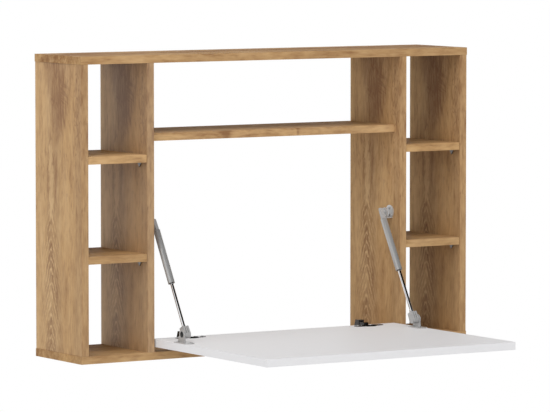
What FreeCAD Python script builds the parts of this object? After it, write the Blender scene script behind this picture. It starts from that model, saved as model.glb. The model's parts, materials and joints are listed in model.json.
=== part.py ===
"""Fold down wall desk: a shelf cabinet with a writing flap on two hinges and two gas struts.

Frame: X to the right, Y from the room into the wall, Z up, in millimetres.
The origin lies in the wall plane, midway along the row of keyhole hangers.
The flap stands in its open, level position.
"""

import FreeCAD, Part
import os
import re
import Sketcher

doc = FreeCAD.newDocument("fold_down_wall_desk")
sizes = doc.addObject("Spreadsheet::Sheet", "Sizes")

DRIVING_SIZES = [
    # Cabinet boards
    ("desk_width", 950, "top and bottom board, end to end"),
    ("desk_height", 627, "underside of the bottom board to top of the top board"),
    ("desk_depth", 193, "wall to front edge"),
    ("board_thickness", 16, "cabinet boards"),
    ("end_overhang", 1.2, "top and bottom board past the side panels, each end"),
    ("bay_width", 606, "clear width between the partitions"),
    ("shelf_setback", 1, "side shelves behind the front edge"),
    ("shelf_side_gap", 0.5, "side shelf to upright, each end"),
    ("lower_shelf_height", 203.5, "underside of the lower side shelves above the desk's underside"),
    ("upper_shelf_height", 407.5, "underside of the upper side shelves above the desk's underside"),
    ("centre_shelf_height", 449.5, "underside of the centre shelf above the desk's underside"),
    ("centre_shelf_gap", 6, "centre shelf behind the closed flap"),
    # Board joints
    ("screw_setback", 37, "board screws from the front and back edges"),
    ("dowel_setback", 69, "dowels from the front and back edges"),
    ("screw_head_radius", 5, "board screw head"),
    ("screw_head_height", 3.5, "board screw head"),
    ("screw_shank_radius", 3.5, "board screw, in the horizontal board"),
    ("screw_core_radius", 2.5, "board screw, in the upright"),
    ("screw_core_length", 34, "board screw, in the upright"),
    ("cap_radius", 6.5, "cover cap"),
    ("cap_thickness", 0.6, "cover cap, let in flush"),
    ("dowel_radius", 4, "wooden dowel"),
    ("dowel_board_depth", 10, "dowel in the drilled face"),
    ("dowel_end_depth", 20, "dowel in the drilled end"),
    ("joint_clearance", 0.05, "fastener to its bore, all round"),
    ("bore_allowance", 0.5, "bore deeper than the fastener in it"),
    ("cam_radius", 7.5, "cam housing"),
    ("cam_depth", 12.5, "cam housing in the centre shelf"),
    ("cam_reach", 34, "cam centre from the shelf's end"),
    ("cam_bolt_radius", 3, "cam bolt"),
    ("cam_bolt_grip", 11, "cam bolt in the partition"),
    ("cam_drive_width", 1.5, "screwdriver slot in the cam"),
    # Shelf supports
    ("support_pin_radius", 2.5, "shelf support pin"),
    ("support_pin_length", 8, "shelf support pin in the upright"),
    ("support_pin_drop", 4.5, "pin centre below the seat"),
    ("support_setback", 30, "supports from the front and back edges"),
    ("support_half_width", 9, "half the seat's width along the upright"),
    ("support_reach", 11, "seat out from the upright"),
    ("support_leg_height", 11, "triangular leg below the shelf"),
    ("support_leg_thickness", 2.2, "triangular leg out from the upright"),
    ("support_seat_thickness", 1.2, "seat under the shelf"),
    # Wall hangers
    ("hanger_top_gap", 12, "hanger plate below the top board"),
    ("hanger_plate_width", 12, "hanger plate"),
    ("hanger_plate_thickness", 2, "hanger plate, let in flush"),
    ("hanger_plate_rise", 28, "plate above the keyhole entry"),
    ("hanger_plate_drop", 20, "plate below the keyhole entry"),
    ("keyhole_radius", 4.75, "entry for the wall screw's head"),
    ("keyhole_slot_radius", 2.5, "half the keyhole slot's width"),
    ("keyhole_slot_rise", 9, "slot centre above the entry"),
    ("keyhole_relief_depth", 8, "room behind the plate for the screw's head"),
    ("hanger_screw_rise", 21, "upper plate screw above the entry"),
    ("hanger_screw_drop", 13, "lower plate screw below the entry"),
    # Small wood screws
    ("wood_screw_head_radius", 3.2, "small wood screw head"),
    ("wood_screw_head_height", 1.3, "small wood screw head"),
    ("wood_screw_radius", 1.6, "small wood screw shank"),
    ("wood_screw_length", 12, "small wood screw shank below its head"),
    # Flap and hinges
    ("flap_side_gap", 3.5, "writing flap to the partition, each end"),
    ("flap_top_margin", 2, "closed flap's upper edge above the centre shelf's top"),
    ("flap_thickness", 16, "writing flap"),
    ("flap_lower_gap", 3, "closed flap above the bottom board"),
    ("hinge_pin_depth", 4.8, "pin behind the closed flap's front face"),
    ("hinge_pin_rise", 11.8, "pin above the closed flap's lower edge"),
    ("hinge_inset", 79.5, "hinge centres from the flap's ends"),
    ("hinge_pin_radius", 1.25, "hinge pin"),
    ("hinge_pin_length", 18, "hinge pin"),
    ("hinge_running_clearance", 0.05, "pin in the arm's eye, all round"),
    ("hinge_part_clearance", 0.25, "hinge parts that pass each other"),
    ("arm_eye_radius", 2.05, "eye of the hinge arm"),
    ("arm_neck_width", 11, "arm inside the cup"),
    ("arm_neck_thickness", 3.4, "arm from the pin towards the flap's edge"),
    ("arm_lift", 1, "arm above the open flap"),
    ("arm_height", 9, "channel's back above the flap's edge"),
    ("arm_bridge_height", 5, "arm's bridge over the flap's edge"),
    ("arm_body_width", 13, "channel behind the flap"),
    ("arm_body_start", 17.2, "channel behind the pin"),
    ("arm_body_end", 36, "channel behind the pin"),
    ("arm_shoulder", 31, "where the channel's back starts to slope"),
    ("arm_tail_height", 6, "channel's back at its rear end, above the pin"),
    ("arm_skirt_drop", 4, "channel's sides below the pin"),
    ("arm_sheet", 2, "channel wall"),
    ("cup_radius", 17.5, "hinge cup"),
    ("cup_edge_distance", 22.5, "cup centre from the flap's hinge edge"),
    ("cup_wall", 1, "hinge cup wall"),
    ("cup_floor", 0.7, "hinge cup floor"),
    ("cup_flange_length", 68, "cup flange along the flap"),
    ("cup_flange_width", 20, "cup flange across the flap"),
    ("cup_flange_thickness", 1.2, "cup flange on the flap"),
    ("cup_screw_offset", 27, "cup screws each side of the cup"),
    ("cup_lug_start", 6.2, "pin lugs from the hinge's centre"),
    ("cup_lug_end", 9.6, "pin lugs from the hinge's centre"),
    ("plate_wing_length", 52, "mounting plate along the desk"),
    ("plate_wing_width", 18, "mounting plate's wings, front to back"),
    ("plate_thickness", 2.5, "mounting plate's wings"),
    ("plate_screw_offset", 16, "mounting plate screws each side of its centre"),
    ("plate_block_width", 8, "mounting plate's block under the arm"),
    ("plate_block_start", 20, "block behind the pin"),
    ("plate_block_end", 34.5, "block behind the pin"),
    ("plate_block_top", 5, "block's top above the pin"),
    ("plate_setback", 28, "wings' centre behind the pin"),
    ("adjuster_radius", 2.2, "adjusting screw"),
    ("adjuster_front", 22.4, "front adjusting screw behind the pin"),
    ("adjuster_rear", 28.2, "rear adjusting screw behind the pin"),
    ("adjuster_grip", 6, "adjusting screw in the block"),
    # Gas struts
    ("strut_inset", 22.5, "strut's centre from the partition"),
    ("strut_top_setback", 37, "upper pivot behind the front edge"),
    ("strut_top_height", 279, "upper pivot above the desk's underside"),
    ("strut_foot_reach", 105.1, "lower pivot from the flap's hinge edge"),
    ("strut_foot_rise", 17.5, "lower pivot above the flap's inner face"),
    ("cylinder_radius", 7, "cylinder tube"),
    ("cylinder_bore_radius", 6, "cylinder tube"),
    ("cylinder_reach", 137.5, "upper pivot to the tube's lower end"),
    ("cylinder_lip", 1, "rolled lip at the tube's lower end"),
    ("cylinder_end_wall", 2.5, "tube's closed end"),
    ("cylinder_stud_length", 8, "threaded stud on the closed end"),
    ("cylinder_stud_radius", 2.2, "threaded stud on the closed end"),
    ("rod_radius", 3.5, "piston rod"),
    ("rod_clearance", 0.05, "rod in its guide, all round"),
    ("guide_length", 8, "rod guide and seal"),
    ("piston_length", 3, "piston"),
    ("piston_clearance", 0.1, "piston in the tube, all round"),
    ("piston_standoff", 1.5, "piston above the guide when extended"),
    ("top_fitting_width", 7, "cylinder end fitting, at its rounded end"),
    ("top_fitting_base_width", 10, "cylinder end fitting, at the tube"),
    ("top_fitting_thickness", 7, "cylinder end fitting, along the desk"),
    ("top_fitting_reach", 17, "upper pivot to the tube's closed end"),
    ("top_fitting_nose", 5.5, "cylinder end fitting's round end beyond the upper pivot"),
    ("top_fitting_pocket_radius", 2.2, "snap pocket in the cylinder end fitting"),
    ("rod_fitting_width", 17, "rod end fitting, at the pivot"),
    ("rod_fitting_neck_width", 14, "rod end fitting, at the rod"),
    ("rod_fitting_reach", 16.5, "lower pivot to the fitting's upper end"),
    ("rod_grip", 11, "rod in its end fitting"),
    ("rod_fitting_thickness", 14, "rod end fitting, along the desk"),
    ("fitting_slot_width", 2, "two slots in the rod end fitting's front"),
    ("fitting_slot_depth", 3, "two slots in the rod end fitting's front"),
    ("fitting_slot_offset", 2.4, "slots from the rod end fitting's middle"),
    ("trunnion_radius", 7.4, "rod end fitting's pivot boss"),
    ("trunnion_clearance", 0.08, "boss in the bracket's eye, all round"),
    ("trunnion_proud", 0.3, "boss past the bracket's ear"),
    ("trunnion_socket_radius", 6.2, "hollow of the pivot boss"),
    ("bracket_clearance", 0.4, "tube to the brackets' ears"),
    ("bracket_sheet", 2.5, "bracket ears and flanges"),
    ("top_flange_radius", 14, "upper bracket's round flange"),
    ("top_screw_offset", 7.5, "upper bracket's screws above and below the pivot"),
    ("top_ledge_drop", 13.5, "underside of the upper bracket's ledge below the pivot"),
    ("top_ear_half_width", 9, "upper bracket's ear"),
    ("top_rivet_radius", 4.5, "upper bracket's pivot rivet"),
    ("top_hub_radius", 3.5, "upper bracket's pivot hub beside the cylinder end fitting"),
    ("foot_thickness", 2, "lower bracket's foot on the flap"),
    ("foot_inward", 6, "foot from the strut's centre towards the desk's middle"),
    ("foot_outward", 17.5, "foot from the strut's centre towards the partition"),
    ("foot_forward", 30, "foot in front of the pivot"),
    ("foot_backward", 20, "foot behind the pivot"),
    ("foot_screw_forward", 22, "front foot screw in front of the pivot"),
    ("foot_screw_backward", 9, "rear foot screw behind the pivot"),
    ("foot_screw_outward", 13.8, "rear foot screw from the strut's centre"),
    ("ear_radius", 10.5, "lower bracket's ear round the pivot"),
    ("ear_base_forward", 12, "ear's base in front of the pivot"),
    ("ear_base_backward", 18, "ear's base behind the pivot"),
]

FOLLOWING_SIZES = [
    (
        "hanger_height", "desk_height - board_thickness - hanger_top_gap - hanger_plate_rise",
        "keyhole entries above the desk's underside",
    ),
    (
        "centre_shelf_setback", "flap_thickness + centre_shelf_gap",
        "centre shelf behind the front edge",
    ),
    ("flap_width", "bay_width - 2 * flap_side_gap", "writing flap"),
    (
        "flap_height", "centre_shelf_height + flap_top_margin - flap_lower_gap",
        "writing flap, lower edge to upper edge when closed",
    ),
    ("hinge_offset", "flap_width / 2 - hinge_inset", "hinge centres from the desk's middle"),
]

rows = [(alias, str(size), note) for alias, size, note in DRIVING_SIZES]
rows += [(alias, "=" + formula, note) for alias, formula, note in FOLLOWING_SIZES]
for row, (alias, content, note) in enumerate(rows, start=1):
    sizes.set("A%d" % row, note)
    sizes.set("B%d" % row, content)
    sizes.setAlias("B%d" % row, alias)
doc.recompute()


# ---------------------------------------------------------------------------
# Expressions, sketches and features

def linked(text):
    """Point each alias in an expression at its cell; every alias has an underscore in it."""
    return re.sub(r"[a-z]+(?:_[a-z]+)+", lambda found: "Sizes." + found.group(0), str(text))


def value(text):
    """What an expression comes to now, used only as a sketch's starting point."""
    result = sizes.evalExpression(linked(text))
    return float(getattr(result, "Value", result))


def new_body(label):
    """A sub-part: one body, which may hold several like solids."""
    body = doc.addObject("PartDesign::Body", label)
    body.Label = label
    body.AllowCompound = True
    return body


def new_sketch(body, plane, offset="0"):
    """A sketch on one of the body's own planes, moved along the plane's normal."""
    sketch = body.newObject("Sketcher::SketchObject", body.Name + "_sketch")
    origin_plane = [item for item in body.Origin.OriginFeatures if item.Role == plane][0]
    sketch.AttachmentSupport = [(origin_plane, "")]
    sketch.MapMode = "FlatFace"
    sketch.setExpression("AttachmentOffset.Base.z", linked(offset))
    return sketch


def fix(sketch, constraint, text):
    """Add a dimension and bind it to its expression."""
    index = sketch.addConstraint(constraint)
    sketch.setExpression("Constraints[%d]" % index, linked(text))


def fix_point(sketch, geometry, end, x, y):
    """Place a point of the sketch from the sketch's origin."""
    fix(sketch, Sketcher.Constraint("DistanceX", -1, 1, geometry, end, value(x)), x)
    fix(sketch, Sketcher.Constraint("DistanceY", -1, 1, geometry, end, value(y)), y)


def draw_outline(sketch, corners):
    """A closed outline of straight edges through the given corners."""
    points = [FreeCAD.Vector(value(x), value(y), 0) for x, y in corners]
    lines = []
    for index, point in enumerate(points):
        following = points[(index + 1) % len(points)]
        lines.append(sketch.addGeometry(Part.LineSegment(point, following)))
    for index, line in enumerate(lines):
        following = lines[(index + 1) % len(lines)]
        sketch.addConstraint(Sketcher.Constraint("Coincident", line, 2, following, 1))
        fix_point(sketch, line, 1, *corners[index])


def draw_rectangle(sketch, left, right, low, high):
    draw_outline(sketch, [(left, low), (right, low), (right, high), (left, high)])


def draw_circle(sketch, x, y, radius):
    centre = FreeCAD.Vector(value(x), value(y), 0)
    circle = sketch.addGeometry(Part.Circle(centre, FreeCAD.Vector(0, 0, 1), value(radius)))
    fix(sketch, Sketcher.Constraint("Radius", circle, value(radius)), radius)
    fix_point(sketch, circle, 3, x, y)


def draw_circles(sketch, points, radius):
    for x, y in points:
        draw_circle(sketch, x, y, radius)


def add_feature(body, kind, sketch, length, backwards):
    feature = body.newObject("PartDesign::" + kind, body.Name + "_" + kind.lower())
    feature.Profile = sketch
    feature.Reversed = backwards
    feature.setExpression("Length", linked(length))
    body.Tip = feature


def pad(body, sketch, length, backwards=False):
    """Material from the sketch along its plane's normal, or against it."""
    add_feature(body, "Pad", sketch, length, backwards)


def pocket(body, sketch, length, backwards=False):
    """A cut from the sketch against its plane's normal, or along it."""
    add_feature(body, "Pocket", sketch, length, backwards)


def pad_circles(body, plane, offset, points, radius, length, backwards=False):
    sketch = new_sketch(body, plane, offset)
    draw_circles(sketch, points, radius)
    pad(body, sketch, length, backwards)


def pocket_circles(body, plane, offset, points, radius, length, backwards=False):
    sketch = new_sketch(body, plane, offset)
    draw_circles(sketch, points, radius)
    pocket(body, sketch, length, backwards)


def pad_outline(body, plane, offset, corners, length, backwards=False):
    sketch = new_sketch(body, plane, offset)
    draw_outline(sketch, corners)
    pad(body, sketch, length, backwards)


def turned(label, profile):
    """A round piece about its own Z axis, from radius and height pairs."""
    body = new_body(label)
    sketch = new_sketch(body, "XZ_Plane")
    draw_outline(sketch, profile)
    turning = body.newObject("PartDesign::Revolution", label + "_revolution")
    turning.Profile = sketch
    turning.ReferenceAxis = (sketch, ["V_Axis"])
    turning.Angle = 360
    body.Tip = turning
    return body


def both_ways(amount):
    """An expression and its mirror image across the middle of the desk."""
    return ["(0 - (%s))" % amount, "(%s)" % amount]


# ---------------------------------------------------------------------------
# Levels and places that several pieces share

UNDERSIDE = "(0 - hanger_height)"
FLOOR = "(board_thickness - hanger_height)"
CEILING = "(desk_height - board_thickness - hanger_height)"
TOP = "(desk_height - hanger_height)"
UNDERSIDE_SCREW_SEAT = "(%s + cap_thickness)" % UNDERSIDE
TOP_SCREW_SEAT = "(%s - cap_thickness)" % TOP
FRONT = "(0 - desk_depth)"

BAY_HALF = "(bay_width / 2)"
PARTITION_OUTER = "(bay_width / 2 + board_thickness)"
PARTITION_MIDDLE = "(bay_width / 2 + board_thickness / 2)"
PANEL_OUTER = "(desk_width / 2 - end_overhang)"
PANEL_MIDDLE = "(desk_width / 2 - end_overhang - board_thickness / 2)"
PANEL_INNER = "(desk_width / 2 - end_overhang - board_thickness)"

UPRIGHT_MIDDLES = both_ways(PANEL_MIDDLE) + both_ways(PARTITION_MIDDLE)
SCREW_LINES = ["(screw_setback - desk_depth)", "(0 - screw_setback)"]
DOWEL_LINES = ["(dowel_setback - desk_depth)", "(0 - dowel_setback)"]
SUPPORT_LINES = ["(support_setback - desk_depth)", "(0 - support_setback)"]
SHELF_LEVELS = ["(lower_shelf_height - hanger_height)", "(upper_shelf_height - hanger_height)"]

CENTRE_SHELF_UNDER = "(centre_shelf_height - hanger_height)"
CENTRE_SHELF_FRONT = "(centre_shelf_setback - desk_depth)"
CAM_LINES = [
    "(centre_shelf_setback + screw_setback - desk_depth)",
    "(0 - screw_setback)",
]
SHELF_DOWEL_LINES = [
    "(centre_shelf_setback + dowel_setback - desk_depth)",
    "(0 - dowel_setback)",
]
SHELF_MIDDLE_LEVEL = "(centre_shelf_height + board_thickness / 2 - hanger_height)"

BOARD_SCREW_POINTS = [(x, y) for x in UPRIGHT_MIDDLES for y in SCREW_LINES]
BOARD_DOWEL_POINTS = [(x, y) for x in UPRIGHT_MIDDLES for y in DOWEL_LINES]
CAM_POINTS = [(x, y) for x in both_ways("bay_width / 2 - cam_reach") for y in CAM_LINES]
CAM_BOLT_POINTS = [(y, SHELF_MIDDLE_LEVEL) for y in CAM_LINES]
SHELF_DOWEL_POINTS = [(y, SHELF_MIDDLE_LEVEL) for y in SHELF_DOWEL_LINES]

PIN_Y = "(hinge_pin_depth - desk_depth)"
PIN_Z = "(board_thickness + flap_lower_gap + hinge_pin_rise - hanger_height)"
FLAP_BACK = "(hinge_pin_depth + hinge_pin_rise - desk_depth)"
FLAP_UNDER = "(board_thickness + flap_lower_gap + hinge_pin_rise - hinge_pin_depth - hanger_height)"
FLAP_TOP = "(%s + flap_thickness)" % FLAP_UNDER
CUP_Y = "(%s - cup_edge_distance)" % FLAP_BACK
CUP_BOTTOM = "(%s - arm_eye_radius - hinge_part_clearance - cup_floor)" % PIN_Z

UPPER_Y = "(strut_top_setback - desk_depth)"
UPPER_Z = "(strut_top_height - hanger_height)"
LOWER_Y = "(%s - strut_foot_reach)" % FLAP_BACK
LOWER_Z = "(%s + strut_foot_rise)" % FLAP_TOP
STRUT_X = "(bay_width / 2 - strut_inset)"
EAR_X = "(%s + cylinder_radius + bracket_clearance)" % STRUT_X
HUB_X = "(%s + top_fitting_thickness / 2 + bracket_clearance)" % STRUT_X

STRUT_RUN = "(%s - %s)" % (UPPER_Y, LOWER_Y)
STRUT_CLIMB = "(%s - %s)" % (UPPER_Z, LOWER_Z)
STRUT_LENGTH = "hypot(%s; %s)" % (STRUT_RUN, STRUT_CLIMB)
STRUT_TILT = "atan2(%s; %s)" % (STRUT_RUN, STRUT_CLIMB)
TUBE_START = "(%s - cylinder_reach)" % STRUT_LENGTH
TUBE_END = "(%s - top_fitting_reach)" % STRUT_LENGTH
PISTON_START = "(%s + cylinder_lip + guide_length + piston_standoff)" % TUBE_START

UPPER_BRACKET_SCREW_POINTS = [
    (UPPER_Y, "%s + %s" % (UPPER_Z, way)) for way in both_ways("top_screw_offset")
]

SIDES = [("left", -1), ("right", 1)]


def on_side(side, amount):
    """A distance from the middle of the desk, on the left or the right."""
    return "(%d * (%s))" % (side, amount)


def side_sketch(body, side, plane_x):
    """A sketch that faces along the desk, at a distance from the middle on one side."""
    return new_sketch(body, "YZ_Plane", on_side(side, plane_x))


def pad_outwards(body, side, sketch, amount):
    pad(body, sketch, amount, backwards=side < 0)


def pocket_outwards(body, side, sketch, amount):
    pocket(body, sketch, amount, backwards=side > 0)


def side_circles(body, side, plane_x, points, radius, amount):
    """Round material from a plane outwards, away from the middle of the desk."""
    sketch = side_sketch(body, side, plane_x)
    draw_circles(sketch, points, radius)
    pad_outwards(body, side, sketch, amount)


def side_bores(body, side, plane_x, points, radius, amount):
    """Bores from a plane outwards, away from the middle of the desk."""
    sketch = side_sketch(body, side, plane_x)
    draw_circles(sketch, points, radius)
    pocket_outwards(body, side, sketch, amount)


def side_outline(body, side, plane_x, corners, amount):
    sketch = side_sketch(body, side, plane_x)
    draw_outline(sketch, corners)
    pad_outwards(body, side, sketch, amount)


# ---------------------------------------------------------------------------
# Cabinet

def make_board(label, left, right, front, back, low, high):
    board = new_body(label)
    sketch = new_sketch(board, "XY_Plane", low)
    draw_rectangle(sketch, left, right, front, back)
    pad(board, sketch, "%s - %s" % (high, low))
    return board


def make_horizontal_board(label, low, high, outer_face, inner_face, drill_up):
    """The top or bottom board, drilled for caps, screws and dowels at each upright."""
    board = make_board(label, "(0 - desk_width / 2)", "(desk_width / 2)", FRONT, "0", low, high)
    pocket_circles(
        board, "XY_Plane", outer_face,
        BOARD_SCREW_POINTS, "screw_shank_radius + joint_clearance",
        "board_thickness", backwards=drill_up,
    )
    pocket_circles(
        board, "XY_Plane", outer_face,
        BOARD_SCREW_POINTS, "screw_head_radius + joint_clearance",
        "cap_thickness + screw_head_height", backwards=drill_up,
    )
    pocket_circles(
        board, "XY_Plane", outer_face,
        BOARD_SCREW_POINTS, "cap_radius + joint_clearance",
        "cap_thickness", backwards=drill_up,
    )
    pocket_circles(
        board, "XY_Plane", inner_face,
        BOARD_DOWEL_POINTS, "dowel_radius + joint_clearance",
        "dowel_board_depth + bore_allowance", backwards=not drill_up,
    )
    return board


def drill_upright_ends(board, middle):
    """Bores in both ends of an upright for the board screws and dowels."""
    for face, upward in ((CEILING, False), (FLOOR, True)):
        pocket_circles(
            board, "XY_Plane", face,
            [(middle, y) for y in SCREW_LINES], "screw_core_radius + joint_clearance",
            "screw_core_length + bore_allowance", backwards=upward,
        )
        pocket_circles(
            board, "XY_Plane", face,
            [(middle, y) for y in DOWEL_LINES], "dowel_radius + joint_clearance",
            "dowel_end_depth + bore_allowance", backwards=upward,
        )


def drill_support_bores(board, face, side_of_bore):
    """Pin bores in an upright's face; side_of_bore is where the wood lies from the face."""
    sketch = new_sketch(board, "YZ_Plane", face)
    for level in SHELF_LEVELS:
        for line in SUPPORT_LINES:
            height = "%s - support_seat_thickness - support_pin_drop" % level
            draw_circle(sketch, line, height, "support_pin_radius + joint_clearance")
    pocket(board, sketch, "support_pin_length + bore_allowance", backwards=side_of_bore > 0)


def cut_hanger_seat(board, middle):
    """The recess for a hanger plate and the room behind its keyhole, in the back edge."""
    left = "%s - hanger_plate_width / 2 - joint_clearance" % middle
    right = "%s + hanger_plate_width / 2 + joint_clearance" % middle
    sketch = new_sketch(board, "XZ_Plane")
    draw_rectangle(
        sketch, left, right,
        "0 - hanger_plate_drop - joint_clearance", "hanger_plate_rise + joint_clearance",
    )
    pocket(board, sketch, "hanger_plate_thickness", backwards=True)
    relief = new_sketch(board, "XZ_Plane")
    draw_rectangle(
        relief,
        "%s - keyhole_radius" % middle, "%s + keyhole_radius" % middle,
        "0 - keyhole_radius", "keyhole_slot_rise + keyhole_radius",
    )
    pocket(board, relief, "hanger_plate_thickness + keyhole_relief_depth", backwards=True)
    pocket_circles(
        board, "XZ_Plane", "0",
        [(middle, "hanger_screw_rise"), (middle, "0 - hanger_screw_drop")],
        "wood_screw_radius + joint_clearance",
        "hanger_plate_thickness + wood_screw_length + bore_allowance", backwards=True,
    )


def make_side_panel(name, side):
    inner, outer = sorted([on_side(side, PANEL_INNER), on_side(side, PANEL_OUTER)], key=value)
    panel = make_board(name + "_side_panel", inner, outer, FRONT, "0", FLOOR, CEILING)
    middle = on_side(side, PANEL_MIDDLE)
    drill_upright_ends(panel, middle)
    drill_support_bores(panel, on_side(side, PANEL_INNER), side)
    cut_hanger_seat(panel, middle)


def make_partition(name, side):
    """The upright beside the main bay, which also carries the centre shelf and a strut."""
    low, high = sorted([on_side(side, BAY_HALF), on_side(side, PARTITION_OUTER)], key=value)
    panel = make_board(name + "_partition", low, high, FRONT, "0", FLOOR, CEILING)
    middle = on_side(side, PARTITION_MIDDLE)
    drill_upright_ends(panel, middle)
    drill_support_bores(panel, on_side(side, PARTITION_OUTER), -side)
    cut_hanger_seat(panel, middle)

    side_bores(
        panel, side, BAY_HALF, CAM_BOLT_POINTS, "cam_bolt_radius + joint_clearance",
        "cam_bolt_grip + bore_allowance",
    )
    side_bores(
        panel, side, BAY_HALF, SHELF_DOWEL_POINTS, "dowel_radius + joint_clearance",
        "dowel_board_depth + bore_allowance",
    )
    side_bores(
        panel, side, BAY_HALF, UPPER_BRACKET_SCREW_POINTS, "wood_screw_radius + joint_clearance",
        "wood_screw_length - bracket_sheet + bore_allowance",
    )


def make_centre_shelf():
    shelf = make_board(
        "centre_shelf", "(0 - bay_width / 2)", BAY_HALF,
        CENTRE_SHELF_FRONT, "0", CENTRE_SHELF_UNDER, "(%s + board_thickness)" % CENTRE_SHELF_UNDER,
    )
    pocket_circles(
        shelf, "XY_Plane", CENTRE_SHELF_UNDER,
        CAM_POINTS, "cam_radius + joint_clearance", "cam_depth", backwards=True,
    )
    for side in (-1, 1):
        side_bores(
            shelf, side, "bay_width / 2 - cam_reach",
            CAM_BOLT_POINTS, "cam_bolt_radius + joint_clearance", "cam_reach",
        )
        side_bores(
            shelf, side, "bay_width / 2 - dowel_end_depth - bore_allowance",
            SHELF_DOWEL_POINTS, "dowel_radius + joint_clearance",
            "dowel_end_depth + bore_allowance",
        )


def make_side_shelves():
    for name, side in SIDES:
        for level_name, level in zip(("lower", "upper"), SHELF_LEVELS):
            near = on_side(side, "%s + shelf_side_gap" % PARTITION_OUTER)
            far = on_side(side, "%s - shelf_side_gap" % PANEL_INNER)
            left, right = sorted([near, far], key=value)
            make_board(
                "%s_%s_side_shelf" % (name, level_name), left, right,
                "(shelf_setback - desk_depth)", "0", level, "(%s + board_thickness)" % level,
            )


def make_shelf_supports():
    """Pins in the uprights, each with a seat under the shelf and a triangular leg."""
    supports = new_body("shelf_supports")
    for side in (-1, 1):
        faces = [
            (on_side(side, PARTITION_OUTER), side),
            (on_side(side, PANEL_INNER), -side),
        ]
        for face, outward in faces:
            seats = new_sketch(supports, "YZ_Plane", face)
            legs = new_sketch(supports, "YZ_Plane", face)
            pins = new_sketch(supports, "YZ_Plane", face)
            for level in SHELF_LEVELS:
                for line in SUPPORT_LINES:
                    left = "%s - support_half_width" % line
                    right = "%s + support_half_width" % line
                    below = "%s - support_seat_thickness" % level
                    draw_rectangle(seats, left, right, below, level)
                    draw_outline(
                        legs,
                        [(left, level), (right, level), (line, "%s - support_leg_height" % level)],
                    )
                    height = "%s - support_pin_drop" % below
                    draw_circle(pins, line, height, "support_pin_radius")
            pad(supports, seats, "support_reach", backwards=outward < 0)
            pad(supports, legs, "support_leg_thickness", backwards=outward < 0)
            pad(supports, pins, "support_pin_length", backwards=outward > 0)


def make_board_fasteners():
    """Board screws with their caps, and the dowels, in both ends of the four uprights."""
    screws = new_body("board_screws")
    caps = new_body("screw_cover_caps")
    dowels = new_body("wooden_dowels")
    for seat, inner, up in ((TOP_SCREW_SEAT, CEILING, True), (UNDERSIDE_SCREW_SEAT, FLOOR, False)):
        pad_circles(
            screws, "XY_Plane", seat, BOARD_SCREW_POINTS, "screw_head_radius",
            "screw_head_height", backwards=up,
        )
        pad_circles(
            screws, "XY_Plane", seat, BOARD_SCREW_POINTS, "screw_shank_radius",
            "board_thickness - cap_thickness", backwards=up,
        )
        pad_circles(
            screws, "XY_Plane", seat, BOARD_SCREW_POINTS, "screw_core_radius",
            "board_thickness - cap_thickness + screw_core_length", backwards=up,
        )
        pad_circles(
            caps, "XY_Plane", seat, BOARD_SCREW_POINTS, "cap_radius",
            "cap_thickness", backwards=not up,
        )
        pad_circles(
            dowels, "XY_Plane", inner, BOARD_DOWEL_POINTS, "dowel_radius",
            "dowel_board_depth", backwards=not up,
        )
        pad_circles(
            dowels, "XY_Plane", inner, BOARD_DOWEL_POINTS, "dowel_radius",
            "dowel_end_depth", backwards=up,
        )

    for side in (-1, 1):
        side_circles(
            dowels, side, "bay_width / 2 - dowel_end_depth", SHELF_DOWEL_POINTS, "dowel_radius",
            "dowel_end_depth + dowel_board_depth",
        )


def make_cam_fittings():
    """Cams in the centre shelf's underside and the bolts that they draw in."""
    cams = new_body("cam_housings")
    pad_circles(
        cams, "XY_Plane", CENTRE_SHELF_UNDER, CAM_POINTS, "cam_radius", "cam_depth",
    )
    for side in (-1, 1):
        side_bores(
            cams, side, "bay_width / 2 - cam_reach",
            CAM_BOLT_POINTS, "cam_bolt_radius + joint_clearance", "cam_radius",
        )
    for x, y in CAM_POINTS:
        for half_x, half_y in (("cam_radius / 2", "cam_drive_width / 2"),
                               ("cam_drive_width / 2", "cam_radius / 2")):
            slot = new_sketch(cams, "XY_Plane", CENTRE_SHELF_UNDER)
            draw_rectangle(
                slot, "%s - %s" % (x, half_x), "%s + %s" % (x, half_x),
                "%s - %s" % (y, half_y), "%s + %s" % (y, half_y),
            )
            pocket(cams, slot, "cam_drive_width", backwards=True)

    bolts = new_body("cam_bolts")
    for side in (-1, 1):
        side_circles(
            bolts, side, "bay_width / 2 - cam_reach + bore_allowance",
            CAM_BOLT_POINTS, "cam_bolt_radius", "cam_reach - bore_allowance + cam_bolt_grip",
        )


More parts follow.
